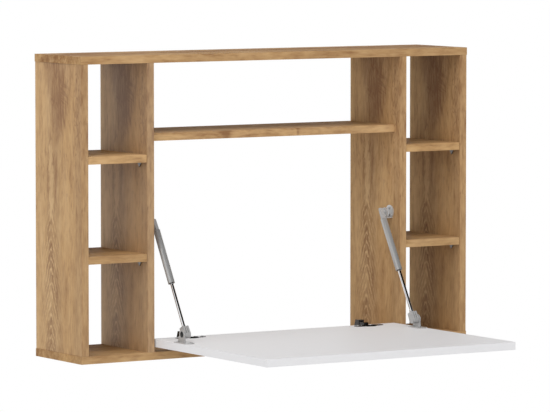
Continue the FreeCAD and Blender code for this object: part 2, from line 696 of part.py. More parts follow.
def make_wall_hangers():
    """Keyhole plates let into the uprights' back edges, each held by two screws."""
    plates = new_body("wall_hanger_plates")
    base = new_sketch(plates, "XZ_Plane")
    for x in UPRIGHT_MIDDLES:
        draw_rectangle(
            base, "%s - hanger_plate_width / 2" % x, "%s + hanger_plate_width / 2" % x,
            "0 - hanger_plate_drop", "hanger_plate_rise",
        )
    pad(plates, base, "hanger_plate_thickness")
    thickness = "hanger_plate_thickness"
    pocket_circles(
        plates, "XZ_Plane", "0", [(x, "0") for x in UPRIGHT_MIDDLES], "keyhole_radius",
        thickness, backwards=True,
    )
    pocket_circles(
        plates, "XZ_Plane", "0",
        [(x, "keyhole_slot_rise") for x in UPRIGHT_MIDDLES], "keyhole_slot_radius",
        thickness, backwards=True,
    )
    slots = new_sketch(plates, "XZ_Plane")
    for x in UPRIGHT_MIDDLES:
        draw_rectangle(
            slots, "%s - keyhole_slot_radius" % x, "%s + keyhole_slot_radius" % x,
            "0", "keyhole_slot_rise",
        )
    pocket(plates, slots, thickness, backwards=True)
    levels = ["hanger_screw_rise", "(0 - hanger_screw_drop)"]
    points = [(x, z) for x in UPRIGHT_MIDDLES for z in levels]
    pocket_circles(
        plates, "XZ_Plane", "0",
        points, "wood_screw_radius + joint_clearance",
        thickness, backwards=True,
    )
    pocket_circles(
        plates, "XZ_Plane", "0",
        points, "wood_screw_head_radius + joint_clearance",
        "wood_screw_head_height", backwards=True,
    )
    screws = new_body("hanger_plate_screws")
    pad_circles(
        screws, "XZ_Plane", "0", points, "wood_screw_head_radius",
        "wood_screw_head_height",
    )
    pad_circles(
        screws, "XZ_Plane", "0", points, "wood_screw_radius",
        "wood_screw_head_height + wood_screw_length",
    )


# ---------------------------------------------------------------------------
# Hinges

def hinge_x(side, offset="0"):
    return "(%d * hinge_offset + %s)" % (side, offset)


def plate_y(distance):
    """A place behind the hinge pin."""
    return "(%s + %s)" % (PIN_Y, distance)


def mounting_plate_screw_points():
    return [
        (hinge_x(side, way), plate_y("plate_setback"))
        for _, side in SIDES
        for way in both_ways("plate_screw_offset")
    ]


def cup_screw_points():
    return [
        (hinge_x(side, way), CUP_Y) for _, side in SIDES for way in both_ways("cup_screw_offset")
    ]


def centred_pad(body, side, width, corners):
    """Material from a profile across the desk, centred on the hinge."""
    pad_outline(body, "YZ_Plane", hinge_x(side, "(0 - (%s) / 2)" % width), corners, width)


def centred_pocket(body, side, width, corners):
    sketch = new_sketch(body, "YZ_Plane", hinge_x(side, "(0 - (%s) / 2)" % width))
    draw_outline(sketch, corners)
    pocket(body, sketch, width, backwards=True)


def make_mounting_plate(name, side):
    """The plate screwed to the bottom board, with the block that the arm clips over."""
    plate = new_body(name + "_hinge_mounting_plate")
    middle_y = plate_y("plate_setback")
    pad_outline(
        plate, "XY_Plane", FLOOR,
        [
            (hinge_x(side, "(0 - plate_wing_length / 2)"), "%s - plate_wing_width / 2" % middle_y),
            (hinge_x(side, "plate_wing_length / 2"), "%s - plate_wing_width / 2" % middle_y),
            (hinge_x(side, "plate_wing_length / 2"), "%s + plate_wing_width / 2" % middle_y),
            (hinge_x(side, "(0 - plate_wing_length / 2)"), "%s + plate_wing_width / 2" % middle_y),
        ],
        "plate_thickness",
    )
    centred_pad(
        plate, side, "plate_block_width",
        [
            (plate_y("plate_block_start"), FLOOR),
            (plate_y("plate_block_end"), FLOOR),
            (plate_y("plate_block_end"), "%s + arm_tail_height / 4" % PIN_Z),
            (plate_y("arm_shoulder"), "%s + plate_block_top" % PIN_Z),
            (plate_y("plate_block_start"), "%s + plate_block_top" % PIN_Z),
        ],
    )
    screws = [(hinge_x(side, way), middle_y) for way in both_ways("plate_screw_offset")]
    pocket_circles(
        plate, "XY_Plane", FLOOR,
        screws, "wood_screw_radius + joint_clearance",
        "plate_thickness", backwards=True,
    )
    holes = [(hinge_x(side), plate_y(place)) for place in ("adjuster_front", "adjuster_rear")]
    pocket_circles(
        plate, "XY_Plane", "%s + plate_block_top" % PIN_Z,
        holes, "adjuster_radius / 2 + joint_clearance",
        "plate_block_top + adjuster_grip",
    )


def make_hinge_arm(name, side):
    """The arm: an eye and neck inside the cup, a bridge over the flap's edge, and a channel."""
    arm = new_body(name + "_hinge_arm")
    bridge_under = "%s + flap_thickness - hinge_pin_depth + arm_lift" % PIN_Z
    bridge_top = "%s + arm_height" % bridge_under
    bridge_back = "%s + arm_bridge_height" % bridge_under
    neck_back = "%s - arm_eye_radius * 4 / 5" % PIN_Y
    neck_front = "%s + arm_neck_thickness" % PIN_Y
    centred_pad(
        arm, side, "arm_neck_width",
        [
            (neck_back, PIN_Z),
            (neck_front, PIN_Z),
            (neck_front, bridge_under),
            (plate_y("arm_body_start + arm_sheet"), bridge_under),
            (plate_y("arm_body_start + arm_sheet"), bridge_back),
            ("%s + arm_sheet" % neck_back, bridge_back),
            (neck_back, "%s - arm_sheet" % bridge_back),
        ],
    )
    pad_circles(
        arm, "YZ_Plane", hinge_x(side, "(0 - arm_neck_width / 2)"),
        [(PIN_Y, PIN_Z)], "arm_eye_radius", "arm_neck_width",
    )
    centred_pad(
        arm, side, "arm_body_width",
        [
            (plate_y("arm_body_start"), "%s - arm_skirt_drop" % PIN_Z),
            (plate_y("arm_body_end"), "%s - arm_skirt_drop" % PIN_Z),
            (plate_y("arm_body_end"), "%s + arm_tail_height" % PIN_Z),
            (plate_y("arm_shoulder"), bridge_top),
            (plate_y("arm_body_start"), bridge_top),
        ],
    )
    centred_pocket(
        arm, side, "arm_body_width - 2 * arm_sheet",
        [
            (plate_y("arm_body_start + arm_sheet"), "%s - 2 * arm_skirt_drop" % PIN_Z),
            (plate_y("arm_body_end + arm_sheet"), "%s - 2 * arm_skirt_drop" % PIN_Z),
            (plate_y("arm_body_end + arm_sheet"), "%s + arm_tail_height - arm_sheet" % PIN_Z),
            (plate_y("arm_body_end"), "%s + arm_tail_height - arm_sheet" % PIN_Z),
            (plate_y("arm_shoulder"), "%s - arm_sheet" % bridge_top),
            (plate_y("arm_body_start + arm_sheet"), "%s - arm_sheet" % bridge_top),
        ],
    )
    pocket_circles(
        arm, "YZ_Plane", hinge_x(side, "(0 - arm_neck_width / 2)"),
        [(PIN_Y, PIN_Z)], "hinge_pin_radius + hinge_running_clearance",
        "arm_neck_width", backwards=True,
    )
    holes = [(hinge_x(side), plate_y(place)) for place in ("adjuster_front", "adjuster_rear")]
    pocket_circles(
        arm, "XY_Plane", bridge_top,
        holes, "adjuster_radius + joint_clearance",
        "arm_height + arm_lift + flap_thickness - hinge_pin_depth - plate_block_top",
    )


def make_adjusting_screws():
    """Two screws down through each arm into the mounting plate's block."""
    screws = new_body("hinge_adjusting_screws")
    points = [
        (hinge_x(side), plate_y(place))
        for _, side in SIDES
        for place in ("adjuster_front", "adjuster_rear")
    ]
    block_top = "%s + plate_block_top" % PIN_Z
    pad_circles(
        screws, "XY_Plane", block_top, points, "adjuster_radius",
        "flap_thickness - hinge_pin_depth + arm_lift + arm_height - plate_block_top",
    )
    pad_circles(
        screws, "XY_Plane", block_top, points, "adjuster_radius / 2",
        "adjuster_grip", backwards=True,
    )


def make_hinge_cup(name, side):
    """The cup sunk in the flap, its flange, and the two lugs that hold the pin."""
    cup = new_body(name + "_hinge_cup")
    pad_circles(
        cup, "XY_Plane", CUP_BOTTOM, [(hinge_x(side), CUP_Y)], "cup_radius",
        "%s - %s" % (FLAP_TOP, CUP_BOTTOM),
    )
    pad_outline(
        cup, "XY_Plane", FLAP_TOP,
        [
            (hinge_x(side, "(0 - cup_flange_length / 2)"), "%s - cup_flange_width / 4" % CUP_Y),
            (hinge_x(side, "(0 - cup_flange_length / 3)"), "%s - cup_flange_width / 2" % CUP_Y),
            (hinge_x(side, "cup_flange_length / 3"), "%s - cup_flange_width / 2" % CUP_Y),
            (hinge_x(side, "cup_flange_length / 2"), "%s - cup_flange_width / 4" % CUP_Y),
            (hinge_x(side, "cup_flange_length / 2"), "%s + cup_flange_width / 4" % CUP_Y),
            (hinge_x(side, "cup_flange_length / 3"), "%s + cup_flange_width / 2" % CUP_Y),
            (hinge_x(side, "(0 - cup_flange_length / 3)"), "%s + cup_flange_width / 2" % CUP_Y),
            (hinge_x(side, "(0 - cup_flange_length / 2)"), "%s + cup_flange_width / 4" % CUP_Y),
        ],
        "cup_flange_thickness",
    )
    pocket_circles(
        cup, "XY_Plane", "%s + cup_flange_thickness" % FLAP_TOP,
        [(hinge_x(side), CUP_Y)], "cup_radius - cup_wall",
        "%s + cup_flange_thickness - %s - cup_floor" % (FLAP_TOP, CUP_BOTTOM),
    )
    for way in (-1, 1):
        start = "cup_lug_start" if way > 0 else "(0 - cup_lug_end)"
        reach = "arm_eye_radius + hinge_part_clearance"
        pad_outline(
            cup, "YZ_Plane", hinge_x(side, start),
            [
                ("%s - %s" % (PIN_Y, reach), "%s + cup_floor / 2" % CUP_BOTTOM),
                ("%s + %s" % (PIN_Y, reach), "%s + cup_floor / 2" % CUP_BOTTOM),
                ("%s + %s" % (PIN_Y, reach), "%s + %s" % (PIN_Z, reach)),
                ("%s - %s" % (PIN_Y, reach), "%s + %s" % (PIN_Z, reach)),
            ],
            "cup_lug_end - cup_lug_start",
        )
        pocket_circles(
            cup, "YZ_Plane", hinge_x(side, start), [(PIN_Y, PIN_Z)], "hinge_pin_radius",
            "cup_lug_end - cup_lug_start", backwards=True,
        )
    screws = [(hinge_x(side, way), CUP_Y) for way in both_ways("cup_screw_offset")]
    pocket_circles(
        cup, "XY_Plane", FLAP_TOP,
        screws, "wood_screw_radius + joint_clearance",
        "cup_flange_thickness", backwards=True,
    )


def make_hinge_pins():
    pins = new_body("hinge_pins")
    for _, side in SIDES:
        pad_circles(
            pins, "YZ_Plane", hinge_x(side, "(0 - hinge_pin_length / 2)"),
            [(PIN_Y, PIN_Z)], "hinge_pin_radius", "hinge_pin_length",
        )


def make_hinge_screws():
    """Pan-head screws: two in each mounting plate, two in each cup flange."""
    plate_screws = new_body("mounting_plate_screws")
    cup_screws = new_body("hinge_cup_screws")
    drop_in_screws(
        plate_screws, mounting_plate_screw_points(), "%s + plate_thickness" % FLOOR,
    )
    drop_in_screws(cup_screws, cup_screw_points(), "%s + cup_flange_thickness" % FLAP_TOP)


def drop_in_screws(body, points, seat):
    """Upright screws with their heads on a seat."""
    pad_circles(
        body, "XY_Plane", seat, points, "wood_screw_head_radius",
        "wood_screw_head_height",
    )
    pad_circles(
        body, "XY_Plane", seat, points, "wood_screw_radius",
        "wood_screw_length", backwards=True,
    )


# ---------------------------------------------------------------------------
# Writing flap

def make_flap():
    flap = make_board(
        "writing_flap", "(0 - flap_width / 2)", "(flap_width / 2)",
        "(%s - flap_height)" % FLAP_BACK, FLAP_BACK, FLAP_UNDER, FLAP_TOP,
    )
    pocket_circles(
        flap, "XY_Plane", FLAP_TOP,
        [(hinge_x(side), CUP_Y) for _, side in SIDES], "cup_radius + joint_clearance",
        "%s - %s" % (FLAP_TOP, CUP_BOTTOM),
    )
    pocket_circles(
        flap, "XY_Plane", FLAP_TOP,
        cup_screw_points(), "wood_screw_radius + joint_clearance",
        "wood_screw_length - cup_flange_thickness + bore_allowance",
    )
    pocket_circles(
        flap, "XY_Plane", FLAP_TOP,
        foot_screw_points(), "wood_screw_radius + joint_clearance",
        "wood_screw_length - foot_thickness + bore_allowance",
    )


# ---------------------------------------------------------------------------
# Gas struts: each strut's own pieces are drawn upright from the lower pivot, then tilted

def stand_on_strut(body, side):
    """Move a piece drawn about the Z axis on to the line between the two pivots."""
    place = "placement(vector(%s; %s; %s); rotation(vector(1; 0; 0); -1 * %s))" % (
        on_side(side, STRUT_X), LOWER_Y, LOWER_Z, STRUT_TILT,
    )
    body.setExpression("Placement", linked(place))


def make_cylinder(name, side):
    tube = turned(
        name + "_strut_cylinder",
        [
            ("rod_radius + cylinder_lip", TUBE_START),
            ("cylinder_radius", TUBE_START),
            ("cylinder_radius", TUBE_END),
            ("cylinder_stud_radius", TUBE_END),
            ("cylinder_stud_radius", "%s + cylinder_stud_length" % TUBE_END),
            ("0", "%s + cylinder_stud_length" % TUBE_END),
            ("0", "%s - cylinder_end_wall" % TUBE_END),
            ("cylinder_bore_radius", "%s - cylinder_end_wall" % TUBE_END),
            ("cylinder_bore_radius", "%s + cylinder_lip" % TUBE_START),
            ("rod_radius + cylinder_lip", "%s + cylinder_lip" % TUBE_START),
        ],
    )
    stand_on_strut(tube, side)
    guide = turned(
        name + "_strut_rod_guide",
        [
            ("rod_radius + rod_clearance", "%s + cylinder_lip" % TUBE_START),
            ("cylinder_bore_radius", "%s + cylinder_lip" % TUBE_START),
            ("cylinder_bore_radius", "%s + cylinder_lip + guide_length" % TUBE_START),
            ("rod_radius + rod_clearance", "%s + cylinder_lip + guide_length" % TUBE_START),
        ],
    )
    stand_on_strut(guide, side)


def make_rod(name, side):
    rod = turned(
        name + "_strut_rod",
        [
            ("0", "rod_fitting_reach - rod_grip"),
            ("rod_radius", "rod_fitting_reach - rod_grip"),
            ("rod_radius", PISTON_START),
            ("rod_radius * 2 / 3", PISTON_START),
            ("rod_radius * 2 / 3", "%s + piston_length" % PISTON_START),
            ("0", "%s + piston_length" % PISTON_START),
        ],
    )
    stand_on_strut(rod, side)
    piston = turned(
        name + "_strut_piston",
        [
            ("rod_radius * 2 / 3", PISTON_START),
            ("cylinder_bore_radius - piston_clearance", PISTON_START),
            ("cylinder_bore_radius - piston_clearance", "%s + piston_length" % PISTON_START),
            ("rod_radius * 2 / 3", "%s + piston_length" % PISTON_START),
        ],
    )
    stand_on_strut(piston, side)


def make_top_fitting(name, side):
    """The end of the cylinder, a tapered tongue that hangs on the upper bracket's hub."""
    fitting = new_body(name + "_strut_top_fitting")
    half = "top_fitting_thickness / 2"
    tip = "%s + top_fitting_nose" % STRUT_LENGTH
    pad_outline(
        fitting, "YZ_Plane", "0 - " + half,
        [
            ("0 - top_fitting_base_width / 2", TUBE_END),
            ("top_fitting_base_width / 2", TUBE_END),
            ("top_fitting_width / 2", tip),
            ("0 - top_fitting_width / 2", tip),
        ],
        "top_fitting_thickness",
    )
    pad_circles(
        fitting, "YZ_Plane", "0 - " + half,
        [("0", tip)], "top_fitting_width / 2", "top_fitting_thickness",
    )
    pocket_circles(
        fitting, "XY_Plane", TUBE_END,
        [("0", "0")], "cylinder_stud_radius + joint_clearance",
        "cylinder_stud_length", backwards=True,
    )
    sketch = new_sketch(fitting, "YZ_Plane", on_side(side, half))
    draw_circle(sketch, "0", STRUT_LENGTH, "top_fitting_pocket_radius")
    pocket(fitting, sketch, half, backwards=side < 0)
    stand_on_strut(fitting, side)


def make_rod_fitting(name, side):
    """The moulded end of the rod, with the hollow boss that turns in the lower bracket."""
    fitting = new_body(name + "_strut_rod_fitting")
    half = "rod_fitting_thickness / 2"
    boss_reach = "cylinder_radius + bracket_clearance + bracket_sheet + trunnion_proud"
    pad_outline(
        fitting, "YZ_Plane", "0 - " + half,
        [
            ("0 - rod_fitting_width / 2", "0"),
            ("rod_fitting_width / 2", "0"),
            ("rod_fitting_neck_width / 2", "rod_fitting_reach"),
            ("0 - rod_fitting_neck_width / 2", "rod_fitting_reach"),
        ],
        "rod_fitting_thickness",
    )
    pad_circles(
        fitting, "YZ_Plane", "0 - " + half,
        [("0", "0")], "rod_fitting_width / 2", "rod_fitting_thickness",
    )
    boss = new_sketch(fitting, "YZ_Plane")
    draw_circle(boss, "0", "0", "trunnion_radius")
    pad(fitting, boss, boss_reach, backwards=side < 0)
    hollow = new_sketch(fitting, "YZ_Plane", on_side(side, boss_reach))
    draw_circle(hollow, "0", "0", "trunnion_socket_radius")
    pocket(fitting, hollow, boss_reach, backwards=side < 0)
    pocket_circles(
        fitting, "XY_Plane", "rod_fitting_reach",
        [("0", "0")], "rod_radius + joint_clearance", "rod_grip",
    )
    slots = new_sketch(fitting, "XZ_Plane", "rod_fitting_width / 2")
    for middle in both_ways("fitting_slot_offset"):
        draw_rectangle(
            slots, "%s - fitting_slot_width / 2" % middle, "%s + fitting_slot_width / 2" % middle,
            "0", "rod_fitting_reach",
        )
    pocket(fitting, slots, "fitting_slot_depth")
    stand_on_strut(fitting, side)


def make_upper_bracket(name, side):
    """A round flange on the partition, a ledge, and the ear and hub beside the cylinder's end."""
    bracket = new_body(name + "_strut_upper_bracket")
    pivot = [(UPPER_Y, UPPER_Z)]
    side_circles(
        bracket, side, "bay_width / 2 - bracket_sheet", pivot, "top_flange_radius", "bracket_sheet",
    )
    ledge_low = "%s - top_ledge_drop" % UPPER_Z
    left = "%s - top_ear_half_width" % UPPER_Y
    right = "%s + top_ear_half_width" % UPPER_Y
    ledge_top = "%s + bracket_sheet" % ledge_low
    side_outline(
        bracket, side, EAR_X,
        [(left, ledge_low), (right, ledge_low), (right, ledge_top), (left, ledge_top)],
        "bay_width / 2 - %s" % EAR_X,
    )
    side_outline(
        bracket, side, EAR_X,
        [(left, ledge_low), (right, ledge_low), (right, UPPER_Z), (left, UPPER_Z)],
        "bracket_sheet",
    )
    side_circles(bracket, side, EAR_X, pivot, "top_ear_half_width", "bracket_sheet")
    side_circles(bracket, side, EAR_X, pivot, "top_rivet_radius", "2 * bracket_sheet")
    side_circles(bracket, side, HUB_X, pivot, "top_hub_radius", "%s - %s" % (EAR_X, HUB_X))
    side_bores(
        bracket, side, "bay_width / 2 - bracket_sheet",
        UPPER_BRACKET_SCREW_POINTS, "wood_screw_radius + joint_clearance", "bracket_sheet",
    )


def make_upper_bracket_screws():
    screws = new_body("upper_bracket_screws")
    seat = "bay_width / 2 - bracket_sheet"
    for side in (-1, 1):
        side_circles(
            screws, side, seat, UPPER_BRACKET_SCREW_POINTS, "wood_screw_radius",
            "wood_screw_length",
        )
        side_circles(
            screws, side, seat + " - wood_screw_head_height",
            UPPER_BRACKET_SCREW_POINTS, "wood_screw_head_radius", "wood_screw_head_height",
        )


def foot_screw_points():
    points = []
    for _, side in SIDES:
        points.append((on_side(side, STRUT_X), "%s - foot_screw_forward" % LOWER_Y))
        points.append(
            (on_side(side, "%s + foot_screw_outward" % STRUT_X), "%s + foot_screw_backward" % LOWER_Y)
        )
    return points


def make_lower_bracket(name, side):
    """A foot on the flap's inner face and the ear that the rod end fitting turns in."""
    bracket = new_body(name + "_strut_lower_bracket")
    inner = on_side(side, "%s - foot_inward" % STRUT_X)
    outer = on_side(side, "%s + foot_outward" % STRUT_X)
    front = "%s - foot_forward" % LOWER_Y
    back = "%s + foot_backward" % LOWER_Y
    middle = on_side(side, "%s + bracket_clearance + cylinder_radius" % STRUT_X)
    pad_outline(
        bracket, "XY_Plane", FLAP_TOP,
        [
            (inner, "%s + foot_inward" % front),
            (middle, front),
            (outer, "%s + foot_inward" % front),
            (outer, back),
            (inner, "%s - foot_inward" % back),
        ],
        "foot_thickness",
    )
    side_outline(
        bracket, side, EAR_X,
        [
            ("%s - ear_base_forward" % LOWER_Y, FLAP_TOP),
            ("%s + ear_base_backward" % LOWER_Y, FLAP_TOP),
            ("%s + ear_radius * 9 / 10" % LOWER_Y, LOWER_Z),
            ("%s - ear_radius * 9 / 10" % LOWER_Y, LOWER_Z),
        ],
        "bracket_sheet",
    )
    pivot = [(LOWER_Y, LOWER_Z)]
    side_circles(bracket, side, EAR_X, pivot, "ear_radius", "bracket_sheet")
    side_bores(
        bracket, side, EAR_X, pivot, "trunnion_radius + trunnion_clearance", "bracket_sheet",
    )
    own = [point for point in foot_screw_points() if value(point[0]) * side > 0]
    pocket_circles(
        bracket, "XY_Plane", FLAP_TOP,
        own, "wood_screw_radius + joint_clearance",
        "foot_thickness", backwards=True,
    )


def make_lower_bracket_screws():
    screws = new_body("lower_bracket_screws")
    drop_in_screws(screws, foot_screw_points(), "%s + foot_thickness" % FLAP_TOP)


# ---------------------------------------------------------------------------
# The desk

make_horizontal_board("top_board", CEILING, TOP, TOP, CEILING, drill_up=False)
bottom_board = make_horizontal_board(
    "bottom_board", UNDERSIDE, FLOOR, UNDERSIDE, FLOOR, drill_up=True,
)
pocket_circles(
    bottom_board, "XY_Plane", FLOOR,
    mounting_plate_screw_points(), "wood_screw_radius + joint_clearance",
    "wood_screw_length - plate_thickness + bore_allowance",
)
for side_name, side_sign in SIDES:
    make_side_panel(side_name, side_sign)
    make_partition(side_name, side_sign)
make_centre_shelf()
make_side_shelves()
make_shelf_supports()
make_board_fasteners()
make_cam_fittings()
make_wall_hangers()

make_flap()
for side_name, side_sign in SIDES:
    make_mounting_plate(side_name, side_sign)
    make_hinge_arm(side_name, side_sign)
    make_hinge_cup(side_name, side_sign)
make_adjusting_screws()
make_hinge_pins()
make_hinge_screws()

for side_name, side_sign in SIDES:
    make_upper_bracket(side_name, side_sign)
    make_top_fitting(side_name, side_sign)
    make_cylinder(side_name, side_sign)
    make_rod(side_name, side_sign)
    make_rod_fitting(side_name, side_sign)
    make_lower_bracket(side_name, side_sign)
make_upper_bracket_screws()
make_lower_bracket_screws()

doc.recompute()

for item in doc.Objects:
    if "Invalid" in item.State or "Error" in item.State:
        raise RuntimeError("%s failed: %s" % (item.Label, item.State))

os.makedirs("parts", exist_ok=True)
for item in doc.Objects:
    if item.TypeId != "PartDesign::Body":
        continue
    if item.Shape.isNull() or not item.Shape.isValid():
        raise RuntimeError("%s has no sound shape" % item.Label)
    item.Shape.exportStep("parts/%s.step" % item.Label)
    print("%-28s %2d solids %12.1f mm3" % (item.Label, len(item.Shape.Solids), item.Shape.Volume))
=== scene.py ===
import json
import math

import bmesh
import bpy
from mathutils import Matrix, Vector


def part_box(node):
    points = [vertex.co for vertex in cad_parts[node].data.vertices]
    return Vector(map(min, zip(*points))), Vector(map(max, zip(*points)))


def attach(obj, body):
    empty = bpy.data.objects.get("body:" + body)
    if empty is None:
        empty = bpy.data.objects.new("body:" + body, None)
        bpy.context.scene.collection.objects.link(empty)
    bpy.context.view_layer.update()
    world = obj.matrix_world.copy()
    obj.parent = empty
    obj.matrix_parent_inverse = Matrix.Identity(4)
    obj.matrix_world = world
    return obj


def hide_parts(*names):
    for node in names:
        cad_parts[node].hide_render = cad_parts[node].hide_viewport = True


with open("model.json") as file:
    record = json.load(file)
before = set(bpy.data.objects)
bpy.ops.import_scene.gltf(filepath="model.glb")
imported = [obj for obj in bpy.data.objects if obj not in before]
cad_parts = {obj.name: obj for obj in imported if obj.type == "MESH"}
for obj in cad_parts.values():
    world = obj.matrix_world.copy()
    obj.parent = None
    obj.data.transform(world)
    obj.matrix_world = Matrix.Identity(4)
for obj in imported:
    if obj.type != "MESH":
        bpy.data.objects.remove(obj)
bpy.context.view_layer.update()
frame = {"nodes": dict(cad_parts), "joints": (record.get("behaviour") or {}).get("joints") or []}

nodes = frame["nodes"]


# ---------------------------------------------------------------------------
# Side panels and partitions
# Four upright boards of coated chipboard with a printed oak decor and the grain
# upright, 16 mm thick and edged at the front. All four are cut at the same place
# from the decor's repeat. They are screwed and dowelled between the long boards.

BOARD_EDGE_RADIUS = 0.0006
DESK_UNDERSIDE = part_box("bottom_board")[0].z
DESK_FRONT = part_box("bottom_board")[0].y


def feed(tree, socket, source):
    """Link a socket to another node's output, or give it a plain value."""
    if isinstance(source, bpy.types.NodeSocket):
        tree.links.new(source, socket)
    else:
        socket.default_value = source


def add_node(tree, kind, inputs=None, **settings):
    """A node with its settings, and its input sockets fed by name or number."""
    made = tree.nodes.new("ShaderNode" + kind)
    for name, setting in settings.items():
        setattr(made, name, setting)
    for name, source in (inputs or {}).items():
        feed(tree, made.inputs[name], source)
    return made


def calc(tree, operation, first, second=0.0):
    """The result of one Math node."""
    step = add_node(tree, "Math", operation=operation)
    feed(tree, step.inputs[0], first)
    feed(tree, step.inputs[1], second)
    return step.outputs[0]


def total(tree, *amounts):
    result = amounts[0]
    for amount in amounts[1:]:
        result = calc(tree, "ADD", result, amount)
    return result


def product(tree, *amounts):
    result = amounts[0]
    for amount in amounts[1:]:
        result = calc(tree, "MULTIPLY", result, amount)
    return result


def span(tree, amount, low, high, start=0.0, end=1.0):
    """Carry an amount from one range to another with soft ends."""
    step = add_node(
        tree, "MapRange", {"From Min": low, "From Max": high, "To Min": start, "To Max": end},
        interpolation_type="SMOOTHSTEP",
    )
    feed(tree, step.inputs["Value"], amount)
    return step.outputs["Result"]


def window(tree, amount, low, high, blur):
    """1 between two limits and 0 beyond them."""
    return product(
        tree, span(tree, amount, low - blur, low + blur),
        span(tree, amount, high - blur, high + blur, 1.0, 0.0),
    )


def bell(tree, amount, middle, width):
    """1 at the middle, falling to nothing within about one and a half widths."""
    away = calc(tree, "DIVIDE", calc(tree, "SUBTRACT", amount, middle), width)
    return calc(tree, "POWER", math.e, product(tree, away, away, -1.0))


def cloud(tree, place, cells, detail=2.0, roughness=0.5):
    """Noise about a middle of 0, with its cells per metre along each axis."""
    scaled = add_node(tree, "VectorMath", {0: place, 1: cells}, operation="MULTIPLY")
    noise = add_node(tree, "TexNoise", {
        "Vector": scaled.outputs[0], "Scale": 1.0, "Detail": detail, "Roughness": roughness,
    })
    return calc(tree, "SUBTRACT", noise.outputs["Fac"], 0.5)


def tones(tree, amount, stops):
    """Colours along an amount from 0 to 1, from pairs of a position and a colour."""
    ramp = add_node(tree, "ValToRGB", {"Fac": amount})
    entries = ramp.color_ramp.elements
    while len(entries) < len(stops):
        entries.new(1.0)
    for entry, (position, colour) in zip(entries, stops):
        entry.position = position
        entry.color = (*colour, 1.0)
    return ramp.outputs["Color"]


def levels(tree, amount, stops):
    """Grey levels along an amount from 0 to 1, from pairs of a position and a level."""
    return tones(tree, amount, [(position, (level,) * 3) for position, level in stops])


def mixed(tree, amount, first, second, way="MIX"):
    """Two colours blended by an amount."""
    mix = add_node(tree, "Mix", data_type="RGBA", blend_type=way)
    feed(tree, mix.inputs["Factor"], amount)
    feed(tree, mix.inputs[6], first)
    feed(tree, mix.inputs[7], second)
    return mix.outputs[2]


def start_group(name, inputs, outputs):
    """An empty node group, from the names and kinds of its sockets."""
    group = bpy.data.node_groups.new(name, "ShaderNodeTree")
    for way, sockets in (("INPUT", inputs), ("OUTPUT", outputs)):
        for socket, kind in sockets:
            group.interface.new_socket(socket, in_out=way, socket_type="NodeSocket" + kind)
    return group, group.nodes.new("NodeGroupInput"), group.nodes.new("NodeGroupOutput")


def loops(tree, place, cells, turns):
    """Curled lines, like the contour lines of a hilly map."""
    hills = cloud(tree, place, cells, detail=1.5)
    return levels(tree, calc(tree, "FRACT", product(tree, hills, turns)), (
        (0.00, 0.0), (0.30, 0.10), (0.52, 1.0), (0.66, 0.30), (0.90, 0.0),
    ))


# Places on the print are in metres: along it from the uprights' foot, and across it
# from the wall edge.
HEART_LINE = 0.064
ARCH_TIP_RADIUS = 0.004
ARCH_SLOPE = 3.3
ARCH_PITCH = 0.0260
ARCH_HALF_WIDTH = 0.030
LOWER_ARCHES_END = 0.114
UPPER_ARCHES = (0.165, 0.250)
ARCHES_BLUR = 0.004


def arch_level(tree, place, along, sideways, slope, wobbles):
    """How far along the print the tip lies of the arch that runs through a place."""
    away = calc(
        tree, "SQRT", total(tree, product(tree, sideways, sideways), ARCH_TIP_RADIUS ** 2),
    )
    ripple = total(tree, *(
        product(tree, cloud(tree, place, cells), height) for cells, height in wobbles
    ))
    return total(tree, along, ripple, product(tree, away, slope))


def oak_arches(tree, place, along, sideways):
    """Two sets of arches that point up along the heart line of the lower half."""
    arch = arch_level(tree, place, along, sideways, ARCH_SLOPE, (
        ((60.0, 170.0, 60.0), 0.030), ((12.0, 24.0, 20.0), 0.030),
    ))
    line = levels(tree, calc(tree, "FRACT", calc(tree, "DIVIDE", arch, ARCH_PITCH)), (
        (0.00, 0.10), (0.26, 0.15), (0.44, 1.0), (0.60, 0.55), (0.75, 0.10),
    ))
    lower = span(tree, arch, LOWER_ARCHES_END + ARCHES_BLUR, LOWER_ARCHES_END - ARCHES_BLUR)
    upper = product(tree, window(tree, arch, *UPPER_ARCHES, ARCHES_BLUR), 0.80)
    shown = calc(tree, "MAXIMUM", lower, upper)
    return product(tree, bell(tree, sideways, 0.0, ARCH_HALF_WIDTH), shown, total(
        tree, 0.28, product(tree, line, 0.72),
    ))


FLAME_SLOPE = 2.3
FLAME_PITCH = 0.0230
FLAME_HALF_WIDTH = 0.035
FLAMES_ALONG = (-0.020, 0.330)


def oak_flames(tree, place, along, sideways):
    """Pale curled strokes that point up on both sides of the heart line."""
    flame = arch_level(tree, place, along, sideways, FLAME_SLOPE, (
        ((90.0, 200.0, 60.0), 0.020), ((14.0, 30.0, 20.0), 0.030),
    ))
    line = calc(tree, "FRACT", calc(tree, "DIVIDE", flame, FLAME_PITCH))
    strokes = product(
        tree, window(tree, line, 0.20, 0.50, 0.10),
        span(tree, cloud(tree, place, (60.0, 160.0, 60.0)), -0.16, 0.02),
    )
    return product(
        tree, strokes, bell(tree, sideways, 0.0, FLAME_HALF_WIDTH),
        window(tree, flame, *FLAMES_ALONG, 0.030),
    )


VALLEY_LINE = 0.100
VALLEY_FOOT = 0.445
VALLEY_STEEPNESS = 36.0
VALLEY_HALF_WIDTH = 0.070


